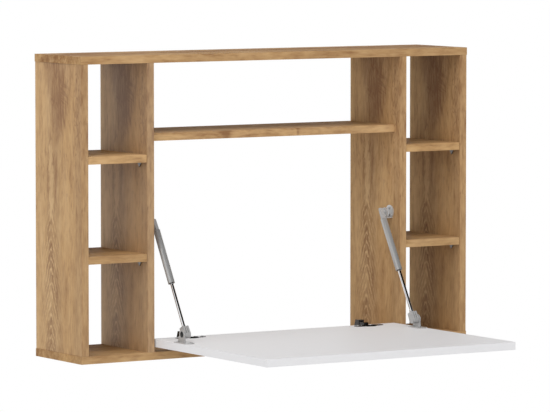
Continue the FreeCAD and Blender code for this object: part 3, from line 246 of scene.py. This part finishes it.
def oak_valley(tree, place, along, across):
    """A dark curled valley that opens upwards near the board's top."""
    sideways = calc(tree, "SUBTRACT", across, VALLEY_LINE)
    ragged = product(tree, cloud(tree, place, (50.0, 90.0, 60.0)), 0.045)
    rise = total(
        tree, along, -VALLEY_FOOT, ragged, product(tree, sideways, sideways, -VALLEY_STEEPNESS),
    )
    inside = product(
        tree, span(tree, rise, -0.010, 0.040), bell(tree, sideways, 0.0, VALLEY_HALF_WIDTH),
    )
    return product(tree, inside, total(
        tree, 0.54, product(tree, loops(tree, place, (17.0, 42.0, 30.0), 7.0), 0.34),
    ))


STROKES_TILT = math.radians(24.2)
STROKES_ALONG = 0.553
STROKES_ACROSS = 0.108
CURL_ALONG = (0.430, 0.600)
CURL_ACROSS = 0.178


def oak_strokes(tree, place, along, across, through):
    """Slanting strokes near the top, and the curl beside the front edge."""
    lean, upright = math.sin(STROKES_TILT), math.cos(STROKES_TILT)
    slant = total(tree, product(tree, along, -lean), product(tree, across, upright))
    rise = total(tree, product(tree, along, upright), product(tree, across, lean))
    turned = add_node(tree, "CombineXYZ", {"X": slant, "Y": rise, "Z": through})
    strokes = span(tree, cloud(tree, turned.outputs[0], (22.0, 190.0, 60.0)), 0.00, 0.16)
    slanting = product(
        tree, strokes, bell(tree, along, STROKES_ALONG, 0.026),
        bell(tree, across, STROKES_ACROSS, 0.034),
    )
    curl = product(
        tree, total(tree, 0.25, loops(tree, place, (26.0, 60.0, 30.0), 6.0)),
        window(tree, along, *CURL_ALONG, 0.030), bell(tree, across, CURL_ACROSS, 0.016),
    )
    return total(tree, slanting, product(tree, curl, 0.80))


KNOT_ALONG = 0.800
KNOT_ACROSS = 0.020
KNOT_SPACING = 0.178


def oak_knots(tree, along, across):
    """A small oval knot and a tick beyond it, past the length that the uprights use."""
    marks = 0.0
    for middle, length, width, weight in (
        (KNOT_ALONG, 0.022, 0.012, 0.30), (KNOT_ALONG, 0.008, 0.006, 0.60),
        (KNOT_ALONG + KNOT_SPACING, 0.003, 0.006, 0.60),
    ):
        mark = product(
            tree, bell(tree, along, middle, length), bell(tree, across, KNOT_ACROSS, width),
        )
        marks = total(tree, marks, product(tree, mark, weight))
    return marks


PATCH_ALONG = (0.285, 0.450)
PATCH_ACROSS = 0.066
PATCH_HALF_WIDTH = 0.011


def oak_patch(tree, place, along, across):
    """How far a point lies inside the ragged pale patch on the heart line."""
    sway = product(tree, cloud(tree, place, (8.0, 14.0, 14.0)), 0.030)
    ragged = product(tree, cloud(tree, place, (60.0, 110.0, 90.0), detail=1.0), 1.6)
    return product(
        tree, window(tree, along, *PATCH_ALONG, 0.030),
        total(tree, ragged, bell(
            tree, total(tree, across, sway), PATCH_ACROSS, PATCH_HALF_WIDTH,
        )),
    )


BAND_WIDTH = 0.193


def oak_bands(tree, place, across):
    """Broad bands of lighter and darker oak side by side, mirrored at the print's edge."""
    drift = product(tree, cloud(tree, place, (2.2, 10.0, 12.0)), 0.050)
    share = calc(tree, "PINGPONG", calc(
        tree, "DIVIDE", total(tree, across, drift), BAND_WIDTH,
    ), 1.0)
    return tones(tree, share, (
        (0.00, (0.560, 0.352, 0.168)), (0.19, (0.540, 0.338, 0.160)),
        (0.27, (0.455, 0.278, 0.130)), (0.50, (0.425, 0.258, 0.120)),
        (0.62, (0.510, 0.308, 0.136)), (0.80, (0.500, 0.302, 0.134)),
        (0.90, (0.425, 0.258, 0.120)), (1.00, (0.450, 0.272, 0.126)),
    ))


STREAK_LINE = 0.087
STREAK_ALONG = (0.320, 0.450)
DARK_OAK = (0.225, 0.110, 0.050, 1.0)
PALE_OAK = (0.660, 0.450, 0.240, 1.0)


def make_oak_decor():
    """The printed oak: tone bands, arches, knot, flecks, streaks, fibres and pores."""
    group, entry, leave = start_group(
        "oak_decor", (("Place", "Vector"),),
        (("Colour", "Color"), ("Height", "Float"), ("Roughness", "Float")),
    )
    place = entry.outputs["Place"]
    along, across, through = add_node(group, "SeparateXYZ", {"Vector": place}).outputs

    sway = cloud(group, place, (3.2, 9.0, 20.0))
    sideways = total(group, across, -HEART_LINE, product(group, sway, 0.014))
    swayed = add_node(group, "CombineXYZ", {
        "X": along, "Y": total(group, across, product(group, sway, 0.050)), "Z": through,
    }).outputs[0]
    mottle = cloud(group, place, (9.0, 26.0, 26.0))
    streaks = cloud(group, swayed, (4.6, 62.0, 60.0), detail=3.0, roughness=0.55)
    strands = cloud(group, swayed, (38.0, 140.0, 120.0), roughness=0.6)
    threads = cloud(group, swayed, (34.0, 300.0, 260.0), roughness=0.6)
    flecks = span(group, cloud(group, swayed, (24.0, 190.0, 190.0), detail=3.0), 0.10, 0.20)
    fibres = cloud(group, place, (40.0, 1400.0, 1000.0))
    pores = span(group, cloud(group, place, (110.0, 2400.0, 1500.0), detail=0.0), 0.17, 0.27)
    beside_heart = product(
        group, bell(group, across, STREAK_LINE, 0.006),
        window(group, along, *STREAK_ALONG, 0.040),
    )
    patch = oak_patch(group, place, along, across)
    darker = total(
        group, oak_arches(group, place, along, sideways),
        oak_valley(group, place, along, across),
        oak_strokes(group, place, along, across, through),
        oak_knots(group, along, across),
        product(group, bell(group, patch, 0.36, 0.12), 0.35),
        product(group, beside_heart, 0.40), product(group, pores, 0.10),
        product(group, flecks, 0.36),
    )
    paler = total(
        group, product(group, span(group, patch, 0.40, 0.95), 0.45),
        product(group, oak_flames(group, place, along, sideways), 0.62),
    )
    for grain, darkening, paling in (
        (streaks, 1.20, 1.20), (strands, 1.30, 0.90), (threads, 1.00, 0.60), (mottle, 1.45, 0.90),
    ):
        darker = total(
            group, darker, product(group, calc(group, "MAXIMUM", grain, 0.0), darkening),
        )
        paler = total(
            group, paler, product(group, calc(group, "MINIMUM", grain, 0.0), -paling),
        )
    bands = oak_bands(group, place, across)
    colour = mixed(group, calc(group, "MINIMUM", darker, 0.90), bands, DARK_OAK)
    colour = mixed(group, calc(group, "MINIMUM", paler, 0.80), colour, PALE_OAK)
    feed(group, leave.inputs["Colour"], colour)
    feed(group, leave.inputs["Height"], total(
        group, product(group, pores, -1.0), product(group, fibres, 0.6),
    ))
    feed(group, leave.inputs["Roughness"], total(
        group, 0.58, product(group, pores, 0.15), product(group, streaks, 0.15),
    ))
    return group


def make_chipboard():
    """Pressed chips, which show where a board has no edging."""
    group, entry, leave = start_group(
        "chipboard", (("Place", "Vector"),), (("Colour", "Color"), ("Height", "Float")),
    )
    scaled = add_node(group, "VectorMath", {
        0: entry.outputs["Place"], 1: (330.0, 700.0, 900.0),
    }, operation="MULTIPLY")
    chips = add_node(group, "TexVoronoi", {"Vector": scaled.outputs[0], "Scale": 1.0})
    pick = add_node(group, "SeparateXYZ", {"Vector": chips.outputs["Color"]}).outputs[0]
    colour = tones(group, pick, (
        (0.0, (0.235, 0.140, 0.070)), (0.35, (0.400, 0.265, 0.145)), (1.0, (0.560, 0.400, 0.235)),
    ))
    feed(group, leave.inputs["Colour"], colour)
    feed(group, leave.inputs["Height"], chips.outputs["Distance"])
    return group


oak_decor = make_oak_decor()
chipboard = make_chipboard()
EDGING = 0.0008
# The brown of the edging's joint, and also of the painted shade at the uprights' ends.
JOINT_AND_SHADE_BROWN = (0.200, 0.115, 0.050, 1.0)


def make_oak_finish(name, turn, shift, front, gloss, ends=()):
    """The decor on one board, its edging's joint, bare back edge and shadowed ends."""
    finish = bpy.data.materials.new(name)
    finish.use_nodes = True
    tree = finish.node_tree
    shader = tree.nodes["Principled BSDF"]
    spot = add_node(tree, "TexCoord").outputs["Object"]
    mapping = add_node(tree, "Mapping", {"Vector": spot, "Rotation": turn, "Location": shift})
    decor = add_node(tree, "Group", node_tree=oak_decor)
    feed(tree, decor.inputs["Place"], mapping.outputs["Vector"])
    chips = add_node(tree, "Group", node_tree=chipboard)
    feed(tree, chips.inputs["Place"], spot)
    depth, height = add_node(tree, "SeparateXYZ", {"Vector": spot}).outputs[1:]
    joint = bell(tree, depth, front + EDGING, EDGING / 4)
    # Painted shade: a thin dark line along each end of an upright, where the long boards meet it.
    for end in ends:
        joint = total(tree, joint, bell(tree, height, end, EDGING))
    bare = span(tree, depth, -EDGING / 3, -EDGING / 6)
    edged = mixed(tree, product(tree, joint, 0.45), decor.outputs["Colour"], JOINT_AND_SHADE_BROWN)
    grain_bump = add_node(tree, "Bump", {
        "Height": decor.outputs["Height"], "Strength": 0.25, "Distance": 0.00008,
    })
    chip_bump = add_node(tree, "Bump", {
        "Height": product(tree, chips.outputs["Height"], bare), "Strength": 0.6,
        "Distance": 0.0004, "Normal": grain_bump.outputs["Normal"],
    })
    feed(tree, shader.inputs["Base Color"], mixed(tree, bare, edged, chips.outputs["Colour"]))
    feed(tree, shader.inputs["Roughness"], total(
        tree, decor.outputs["Roughness"], product(tree, bare, 0.3),
    ))
    feed(tree, shader.inputs["Normal"], chip_bump.outputs["Normal"])
    shader.inputs["Specular IOR Level"].default_value = gloss
    return finish


MERGE_DISTANCE = 0.000002
EASED_ANGLE = math.radians(50)


def ease_edges(piece, radius, segments=2):
    """Join the piece's loose faces and round its edges a little."""
    join = piece.modifiers.new("join", "WELD")
    join.merge_threshold = MERGE_DISTANCE
    ease = piece.modifiers.new("ease", "BEVEL")
    ease.width = radius
    ease.segments = segments
    ease.limit_method = "ANGLE"
    ease.angle_limit = EASED_ANGLE
    ease.harden_normals = True


def dress(name, finish):
    """Give one of the part's own pieces its finish."""
    piece = nodes[name]
    piece.data.materials.clear()
    piece.data.materials.append(finish)
    return piece


UPRIGHT_TURN = (math.pi, -math.pi / 2, 0.0)
for upright, gloss in (
    ("left_side_panel", 0.35), ("left_partition", 0.95), ("right_partition", 0.15),
    ("right_side_panel", 0.15),
):
    left_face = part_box(upright)[0].x
    finish = make_oak_finish(
        "oak_" + upright, UPRIGHT_TURN, (-DESK_UNDERSIDE, 0.0, -left_face), DESK_FRONT, gloss,
        [corner.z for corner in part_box(upright)],
    )
    ease_edges(dress(upright, finish), BOARD_EDGE_RADIUS)


# ---------------------------------------------------------------------------
# Top and bottom boards
# The two long boards lie across the ends of the uprights, in the same oak decor
# with the grain along the desk. Screws under flush caps and dowels hold them.

LENGTHWISE_TURN = (math.pi, 0.0, 0.0)
LENGTHWISE_GLOSS = 0.02
for board, start, aside in (("top_board", 2.6, 0.02), ("bottom_board", 3.1, 0.12)):
    finish = make_oak_finish(
        "oak_" + board, LENGTHWISE_TURN, (start, aside, 0.0), DESK_FRONT, LENGTHWISE_GLOSS,
    )
    ease_edges(dress(board, finish), BOARD_EDGE_RADIUS)


# ---------------------------------------------------------------------------
# Centre shelf and side shelves
# Shelves of the same board with the grain along the desk. The centre shelf is
# pulled up to the partitions with cams, and a knot lies in its front edge. The
# four side shelves lie loose on their supports.

KNOT_X = -0.118
centre_shelf_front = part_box("centre_shelf")[0].y
for shelf, start, aside in (
    ("centre_shelf", KNOT_ALONG - KNOT_X, KNOT_ACROSS + centre_shelf_front),
    ("left_upper_side_shelf", 4.0, 0.19), ("left_lower_side_shelf", 5.9, 0.11),
    ("right_upper_side_shelf", 6.1, 0.33), ("right_lower_side_shelf", 8.3, 0.12),
):
    finish = make_oak_finish(
        "oak_" + shelf, LENGTHWISE_TURN, (start, aside, 0.0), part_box(shelf)[0].y,
        LENGTHWISE_GLOSS,
    )
    ease_edges(dress(shelf, finish), BOARD_EDGE_RADIUS)


# ---------------------------------------------------------------------------
# Shelf supports
# Sixteen nickel-plated supports, each a pin in a 5 mm bore with a small seat and
# a triangular leg against the upright. The shelves rest on them.

def make_plain_finish(
    name, colour, roughness, metallic=0.0, speckle=0.03, relief=0.0, specular=0.5,
):
    """A plain surface whose tone and gloss vary a little from place to place."""
    finish = bpy.data.materials.new(name)
    finish.use_nodes = True
    tree = finish.node_tree
    shader = tree.nodes["Principled BSDF"]
    place = add_node(tree, "TexCoord").outputs["Object"]
    grain = cloud(tree, place, (900.0, 900.0, 900.0), detail=3.0)
    broad = cloud(tree, place, (30.0, 30.0, 30.0))
    tone = total(tree, 1.0, product(tree, grain, speckle), product(tree, broad, speckle))
    tint = add_node(tree, "CombineColor", {"Red": tone, "Green": tone, "Blue": tone})
    feed(tree, shader.inputs["Base Color"], mixed(
        tree, 1.0, (*colour, 1.0), tint.outputs[0], "MULTIPLY",
    ))
    feed(tree, shader.inputs["Roughness"], total(
        tree, roughness, product(tree, broad, 0.10), product(tree, grain, 0.05),
    ))
    shader.inputs["Metallic"].default_value = metallic
    shader.inputs["Specular IOR Level"].default_value = specular
    if relief:
        bump = add_node(tree, "Bump", {"Height": grain, "Strength": 0.3, "Distance": relief})
        feed(tree, shader.inputs["Normal"], bump.outputs["Normal"])
    return finish


zinc = make_plain_finish("zinc_steel", (0.50, 0.50, 0.50), 0.34, metallic=1.0, speckle=0.12)
# Painted shade: the supports' dark tone, darker than bare nickel, stands in for the shade inside
# the side bays.
nickel = make_plain_finish("nickel_support_painted_shade", (0.20, 0.19, 0.18), 0.30, metallic=1.0, speckle=0.2)
ease_edges(dress("shelf_supports", nickel), 0.0003)


# ---------------------------------------------------------------------------
# Board fasteners
# Screws, dowels and cams that hold the boards together, and the oak-coloured caps
# let in flush over the screw heads.

screw_steel = make_plain_finish("screw_steel", (0.56, 0.56, 0.57), 0.32, metallic=1.0, speckle=0.1)
beech = make_plain_finish("beech", (0.60, 0.40, 0.22), 0.65, speckle=0.3, relief=0.0002)
oak_cap = make_plain_finish("oak_cap", (0.44, 0.275, 0.130), 0.5, speckle=0.25, relief=0.00005)
for part, finish, radius in (
    ("board_screws", screw_steel, 0.0003), ("wooden_dowels", beech, 0.0008),
    ("screw_cover_caps", oak_cap, 0.00015), ("cam_housings", zinc, 0.0003),
    ("cam_bolts", zinc, 0.0003),
):
    ease_edges(dress(part, finish), radius)


# ---------------------------------------------------------------------------
# Wall hanger plates
# Four zinc-plated steel plates with keyholes, let in flush in the uprights' back
# edges, each held by two screws.

ease_edges(dress("wall_hanger_plates", zinc), 0.0002)


# ---------------------------------------------------------------------------
# Writing flap
# One board with a white coating on all sides, hinged just above the bottom board
# and shown folded down.

white_gloss = make_plain_finish(
    "white_gloss_board", (0.797, 0.794, 0.806), 0.50, speckle=0.010, relief=0.00001, specular=0.08,
)
ease_edges(dress("writing_flap", white_gloss), 0.0008, segments=3)


# ---------------------------------------------------------------------------
# Hinges
# Two concealed hinges of nickel-plated steel, painted near black to stand for the
# dark surroundings that their polish reflects. Each has a cup let into the flap, an
# arm that bridges the flap's edge, and a plate screwed to the bottom board. Two
# bright screws adjust the arm.

# Painted reflection: the near-black base stands in for the dark surroundings mirrored in the
# polished nickel.
dark_nickel = make_plain_finish(
    "dark_nickel", (0.055, 0.050, 0.048), 0.14, metallic=1.0, speckle=0.2, relief=0.00002,
)
for side in ("left", "right"):
    for part in ("_hinge_mounting_plate", "_hinge_arm", "_hinge_cup"):
        ease_edges(dress(side + part, dark_nickel), 0.0004)
ease_edges(dress("hinge_pins", zinc), 0.0002)


# ---------------------------------------------------------------------------
# Gas struts
# Each strut is a silver-painted tube with a chromed rod. A pressed tongue hangs
# the tube on a bracket screwed to the partition, and the rod's cast end turns in
# a bracket screwed to the flap.

BOSS_HOLLOW = 0.0065
HOLLOW_DEPTH = 0.0120
grey_steel = make_plain_finish(
    "grey_steel", (0.56, 0.555, 0.55), 0.36, metallic=0.45, speckle=0.15, relief=0.00003,
)
silver_tube = make_plain_finish(
    "silver_tube", (0.44, 0.44, 0.435), 0.36, metallic=0.5, speckle=0.06, relief=0.00002,
)
chrome = make_plain_finish("chrome_rod", (0.80, 0.80, 0.81), 0.04, metallic=1.0, speckle=0.02)
black_plastic = make_plain_finish("black_plastic", (0.03, 0.03, 0.03), 0.5, relief=0.00004)
grey_plastic = make_plain_finish(
    "grey_plastic", (0.44, 0.435, 0.43), 0.42, metallic=0.2, speckle=0.10, relief=0.00005,
)


def make_boss_finish(side):
    """Grey cast metal, with painted shade making the hollow of the boss on the outer side near
    black.
    """
    finish = grey_plastic.copy()
    finish.name = side + "_rod_fitting"
    tree = finish.node_tree
    shader = tree.nodes["Principled BSDF"]
    pivot = next(
        joint["pos_m"] for joint in frame["joints"] if joint["name"] == side + "_rod_swing"
    )
    spot = add_node(tree, "TexCoord").outputs["Object"]
    flat = add_node(tree, "VectorMath", {0: spot, 1: (0.0, 1.0, 1.0)}, operation="MULTIPLY")
    distance = add_node(tree, "VectorMath", {
        0: flat.outputs[0], 1: (0.0, pivot[1], pivot[2]),
    }, operation="DISTANCE").outputs["Value"]
    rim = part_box(side + "_strut_rod_fitting")[0 if side == "left" else 1].x
    sunk = calc(tree, "ABSOLUTE", calc(
        tree, "SUBTRACT", add_node(tree, "SeparateXYZ", {"Vector": spot}).outputs[0], rim,
    ))
    painted_hollow_shade = product(
        tree, span(tree, distance, BOSS_HOLLOW - 0.0002, BOSS_HOLLOW, 1.0, 0.0),
        window(tree, sunk, 0.0, HOLLOW_DEPTH, 0.0010),
    )
    # Painted shade: the hollow's near-black stands in for the shade inside the recess of the boss.
    colour = shader.inputs["Base Color"].links[0].from_socket
    feed(tree, shader.inputs["Base Color"], mixed(
        tree, product(tree, painted_hollow_shade, 0.90), colour, (0.05, 0.048, 0.046, 1.0),
    ))
    return finish


for side in ("left", "right"):
    for part, finish, radius in (
        ("_strut_upper_bracket", grey_steel, 0.0005), ("_strut_lower_bracket", grey_steel, 0.0005),
        ("_strut_cylinder", silver_tube, 0.0006), ("_strut_rod", chrome, 0.0003),
        ("_strut_piston", black_plastic, 0.0002), ("_strut_rod_guide", black_plastic, 0.0002),
        ("_strut_top_fitting", grey_plastic, 0.0008),
        ("_strut_rod_fitting", make_boss_finish(side), 0.0008),
    ):
        ease_edges(dress(side + part, finish), radius)


# ---------------------------------------------------------------------------
# Small screws
# Pan-head wood screws with cross recesses hold the hinges, brackets and hanger
# plates. Flush screws of the same steel adjust the hinge arms.

SCREW_STEPS = 48
RECESS_SHARE = 0.62
RECESS_WIDTH = 0.0011
RECESS_DEPTH = 0.0009
DOME_RINGS = 7
PAN_HEAD_HEIGHT = 0.0013
PAN_HEAD_DOME = 0.0005
ADJUSTER_HEIGHT = 0.0145
SHARP_ANGLE = math.radians(35)


def solid_boxes(name):
    """The lowest and highest corner of each separate solid in a node, in its own order."""
    shape = bmesh.new()
    shape.from_mesh(nodes[name].data)
    bmesh.ops.remove_doubles(shape, verts=shape.verts, dist=MERGE_DISTANCE)
    reached = set()
    boxes = []
    for start in shape.verts:
        if start in reached:
            continue
        reached.add(start)
        found = [start]
        for vertex in found:
            for edge in vertex.link_edges:
                other = edge.other_vert(vertex)
                if other not in reached:
                    reached.add(other)
                    found.append(other)
        boxes.append([
            Vector(limit(vertex.co[axis] for vertex in found) for axis in range(3))
            for limit in (min, max)
        ])
    shape.free()
    return boxes


def screw_shape(head_radius, head_height, dome, length):
    """One screw upright on its point, its head's top at the origin."""
    shape = bmesh.new()
    shank = head_radius / 2
    profile = [
        (head_radius * step / DOME_RINGS, -dome * (step / DOME_RINGS) ** 2)
        for step in range(DOME_RINGS + 1)
    ]
    profile += [
        (head_radius, -head_height), (shank, -head_height), (shank, shank * 2 - length),
        (0.0, -length),
    ]
    points = [shape.verts.new((radius, 0.0, height)) for radius, height in profile]
    lines = [shape.edges.new(pair) for pair in zip(points, points[1:])]
    bmesh.ops.spin(
        shape, geom=points + lines, cent=(0.0, 0.0, 0.0), axis=(0.0, 0.0, 1.0),
        angle=2 * math.pi, steps=SCREW_STEPS, use_merge=True,
    )
    bmesh.ops.remove_doubles(shape, verts=shape.verts, dist=MERGE_DISTANCE)
    bmesh.ops.recalc_face_normals(shape, faces=shape.faces)
    half_width = min(RECESS_WIDTH, head_radius / 3) / 2
    for vertex in shape.verts:
        narrow, wide = sorted((abs(vertex.co.x), abs(vertex.co.y)))
        on_top = vertex.co.z > -head_height / 2
        if on_top and narrow < half_width and wide < head_radius * RECESS_SHARE:
            vertex.co.z -= RECESS_DEPTH
    return shape


def make_screws(name, body, head_height, dome):
    """Turned screws in place of a node's plain ones, their heads to the middle, wall or top."""
    joined = bmesh.new()
    for low, high in solid_boxes(name):
        size = high - low
        axis = max(range(3), key=lambda item: size[item])
        head_radius = min(size) / 2
        middle = (low + high) / 2
        facing = Vector((0.0, 0.0, 0.0))
        facing[axis] = -math.copysign(1.0, middle.x) if axis == 0 else 1.0
        top = middle + facing * size[axis] / 2
        turn = facing.to_track_quat("Z", "Y").to_matrix().to_4x4()
        turn.translation = top
        shape = screw_shape(head_radius, head_height, dome, size[axis])
        bmesh.ops.transform(shape, matrix=turn, verts=shape.verts)
        mesh = bpy.data.meshes.new("screw")
        shape.to_mesh(mesh)
        joined.from_mesh(mesh)
        bpy.data.meshes.remove(mesh)
        shape.free()
    mesh = bpy.data.meshes.new(name + "_turned")
    joined.to_mesh(mesh)
    joined.free()
    piece = bpy.data.objects.new(name + "_turned", mesh)
    bpy.context.scene.collection.objects.link(piece)
    mesh.shade_smooth()
    mesh.set_sharp_from_angle(angle=SHARP_ANGLE)
    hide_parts(name)
    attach(piece, body)
    return piece


for screws, body in (
    ("upper_bracket_screws", "cabinet"), ("mounting_plate_screws", "cabinet"),
    ("hanger_plate_screws", "cabinet"), ("lower_bracket_screws", "flap"),
    ("hinge_cup_screws", "flap"),
):
    piece = make_screws(screws, body, PAN_HEAD_HEIGHT, PAN_HEAD_DOME)
    piece.data.materials.append(screw_steel)
piece = make_screws("hinge_adjusting_screws", "cabinet", ADJUSTER_HEIGHT, 0.0)
piece.data.materials.append(zinc)


# ---------------------------------------------------------------------------
# Floor, light and camera
# A pale floor below the hung desk that fades out at its rim, a white surround that
# lights the desk mostly from the front left, one large soft lamp above it at the
# left, and a dark card before it, which shows only in reflections.

FLOOR_LEVEL = DESK_UNDERSIDE - 0.70
FLOOR_HALF = 3.0
SURROUND_LIGHT = 0.52
SURROUND_LEAN = (-0.600, -0.790, -0.180)
LAMP_POWER = 72.0
LAMP_SIZE = 2.4
LAMP_PLACE = (-1.3, -1.2, 3.1)
CARD_HALF = 3.0
CARD_PLACE = (0.6, -1.05, 0.62)
CAMERA_PLACE = (-4.6463, -7.5975, 0.4037)
CAMERA_TURN = (85.62, 0.0, -32.049)
CAMERA_LENS = 274.58


def add_stage_sheet(name, half):
    """A flat square that isn't part of the desk, lying at the origin."""
    shape = bmesh.new()
    bmesh.ops.create_grid(shape, x_segments=1, y_segments=1, size=half)
    mesh = bpy.data.meshes.new(name)
    shape.to_mesh(mesh)
    shape.free()
    sheet = bpy.data.objects.new(name, mesh)
    bpy.context.scene.collection.objects.link(sheet)
    return sheet


def aim(item, place, target):
    """Stand an object at a place with its own -Z towards a target."""
    item.location = place
    item.rotation_euler = (Vector(target) - Vector(place)).to_track_quat("-Z", "Y").to_euler()


floor = add_stage_sheet("floor", FLOOR_HALF)
floor.location = (0.0, -0.3, FLOOR_LEVEL)
floor_finish = bpy.data.materials.new("pale_floor")
floor_finish.use_nodes = True
tree = floor_finish.node_tree
tree.nodes.clear()
matt = add_node(tree, "BsdfDiffuse", {"Color": (0.90, 0.90, 0.90, 1.0)})
glow = add_node(tree, "Emission", {"Color": (1.0, 1.0, 1.0, 1.0), "Strength": 0.22})
seen = add_node(tree, "LightPath").outputs["Is Camera Ray"]
both = add_node(tree, "AddShader", {0: matt.outputs[0], 1: glow.outputs[0]})
choice = add_node(tree, "MixShader", {0: seen, 1: matt.outputs[0], 2: both.outputs[0]})
from_middle = add_node(tree, "VectorMath", {
    0: add_node(tree, "TexCoord").outputs["Object"],
}, operation="LENGTH").outputs["Value"]
rim = product(tree, seen, span(tree, from_middle, FLOOR_HALF * 0.35, FLOOR_HALF * 0.95))
clear = add_node(tree, "BsdfTransparent")
fading = add_node(tree, "MixShader", {0: rim, 1: choice.outputs[0], 2: clear.outputs[0]})
add_node(tree, "OutputMaterial", {"Surface": fading.outputs[0]})
floor.data.materials.append(floor_finish)

card = add_stage_sheet("dark_card", CARD_HALF)
aim(card, CARD_PLACE, (0.0, -0.3, -0.35))
card.visible_camera = False
card.visible_diffuse = False
card.visible_shadow = False
card_finish = bpy.data.materials.new("dark_card")
card_finish.use_nodes = True
tree = card_finish.node_tree
tree.nodes.clear()
black = add_node(tree, "BsdfDiffuse", {"Color": (0.01, 0.01, 0.01, 1.0)})
add_node(tree, "OutputMaterial", {"Surface": black.outputs[0]})
card.data.materials.append(card_finish)

world = bpy.data.worlds.new("white_surround")
world.use_nodes = True
bpy.context.scene.world = world
tree = world.node_tree
tree.nodes.clear()
heading = add_node(tree, "TexCoord").outputs["Generated"]
lean = add_node(tree, "VectorMath", {0: heading, 1: SURROUND_LEAN}, operation="DOT_PRODUCT")
room_light = calc(tree, "MAXIMUM", total(tree, SURROUND_LIGHT, lean.outputs["Value"]), 0.02)
paths = add_node(tree, "LightPath")
seen = calc(tree, "MAXIMUM", paths.outputs["Is Camera Ray"], calc(
    tree, "MAXIMUM", paths.outputs["Is Glossy Ray"], paths.outputs["Is Transmission Ray"],
))
strength = add_node(tree, "MapRange", {"Value": seen, "To Min": room_light, "To Max": 1.0})
sky = add_node(tree, "Background", {
    "Color": (1.0, 1.0, 1.0, 1.0), "Strength": strength.outputs["Result"],
})
add_node(tree, "OutputWorld", {"Surface": sky.outputs[0]})

lamp = bpy.data.lights.new("soft_lamp", "AREA")
lamp.shape = "SQUARE"
lamp.size = LAMP_SIZE
lamp.energy = LAMP_POWER
lamp_holder = bpy.data.objects.new("soft_lamp", lamp)
aim(lamp_holder, LAMP_PLACE, (0.0, -0.25, -0.3))
bpy.context.scene.collection.objects.link(lamp_holder)
lamp_holder.visible_glossy = False

camera = bpy.data.cameras.new("camera")
camera.sensor_width = 36.0
camera.lens = CAMERA_LENS
camera.clip_end = 100.0
viewpoint = bpy.data.objects.new("camera", camera)
viewpoint.location = CAMERA_PLACE
viewpoint.rotation_euler = [math.radians(angle) for angle in CAMERA_TURN]
bpy.context.scene.collection.objects.link(viewpoint)
bpy.context.scene.camera = viewpoint
bpy.context.scene.view_settings.view_transform = "Standard"
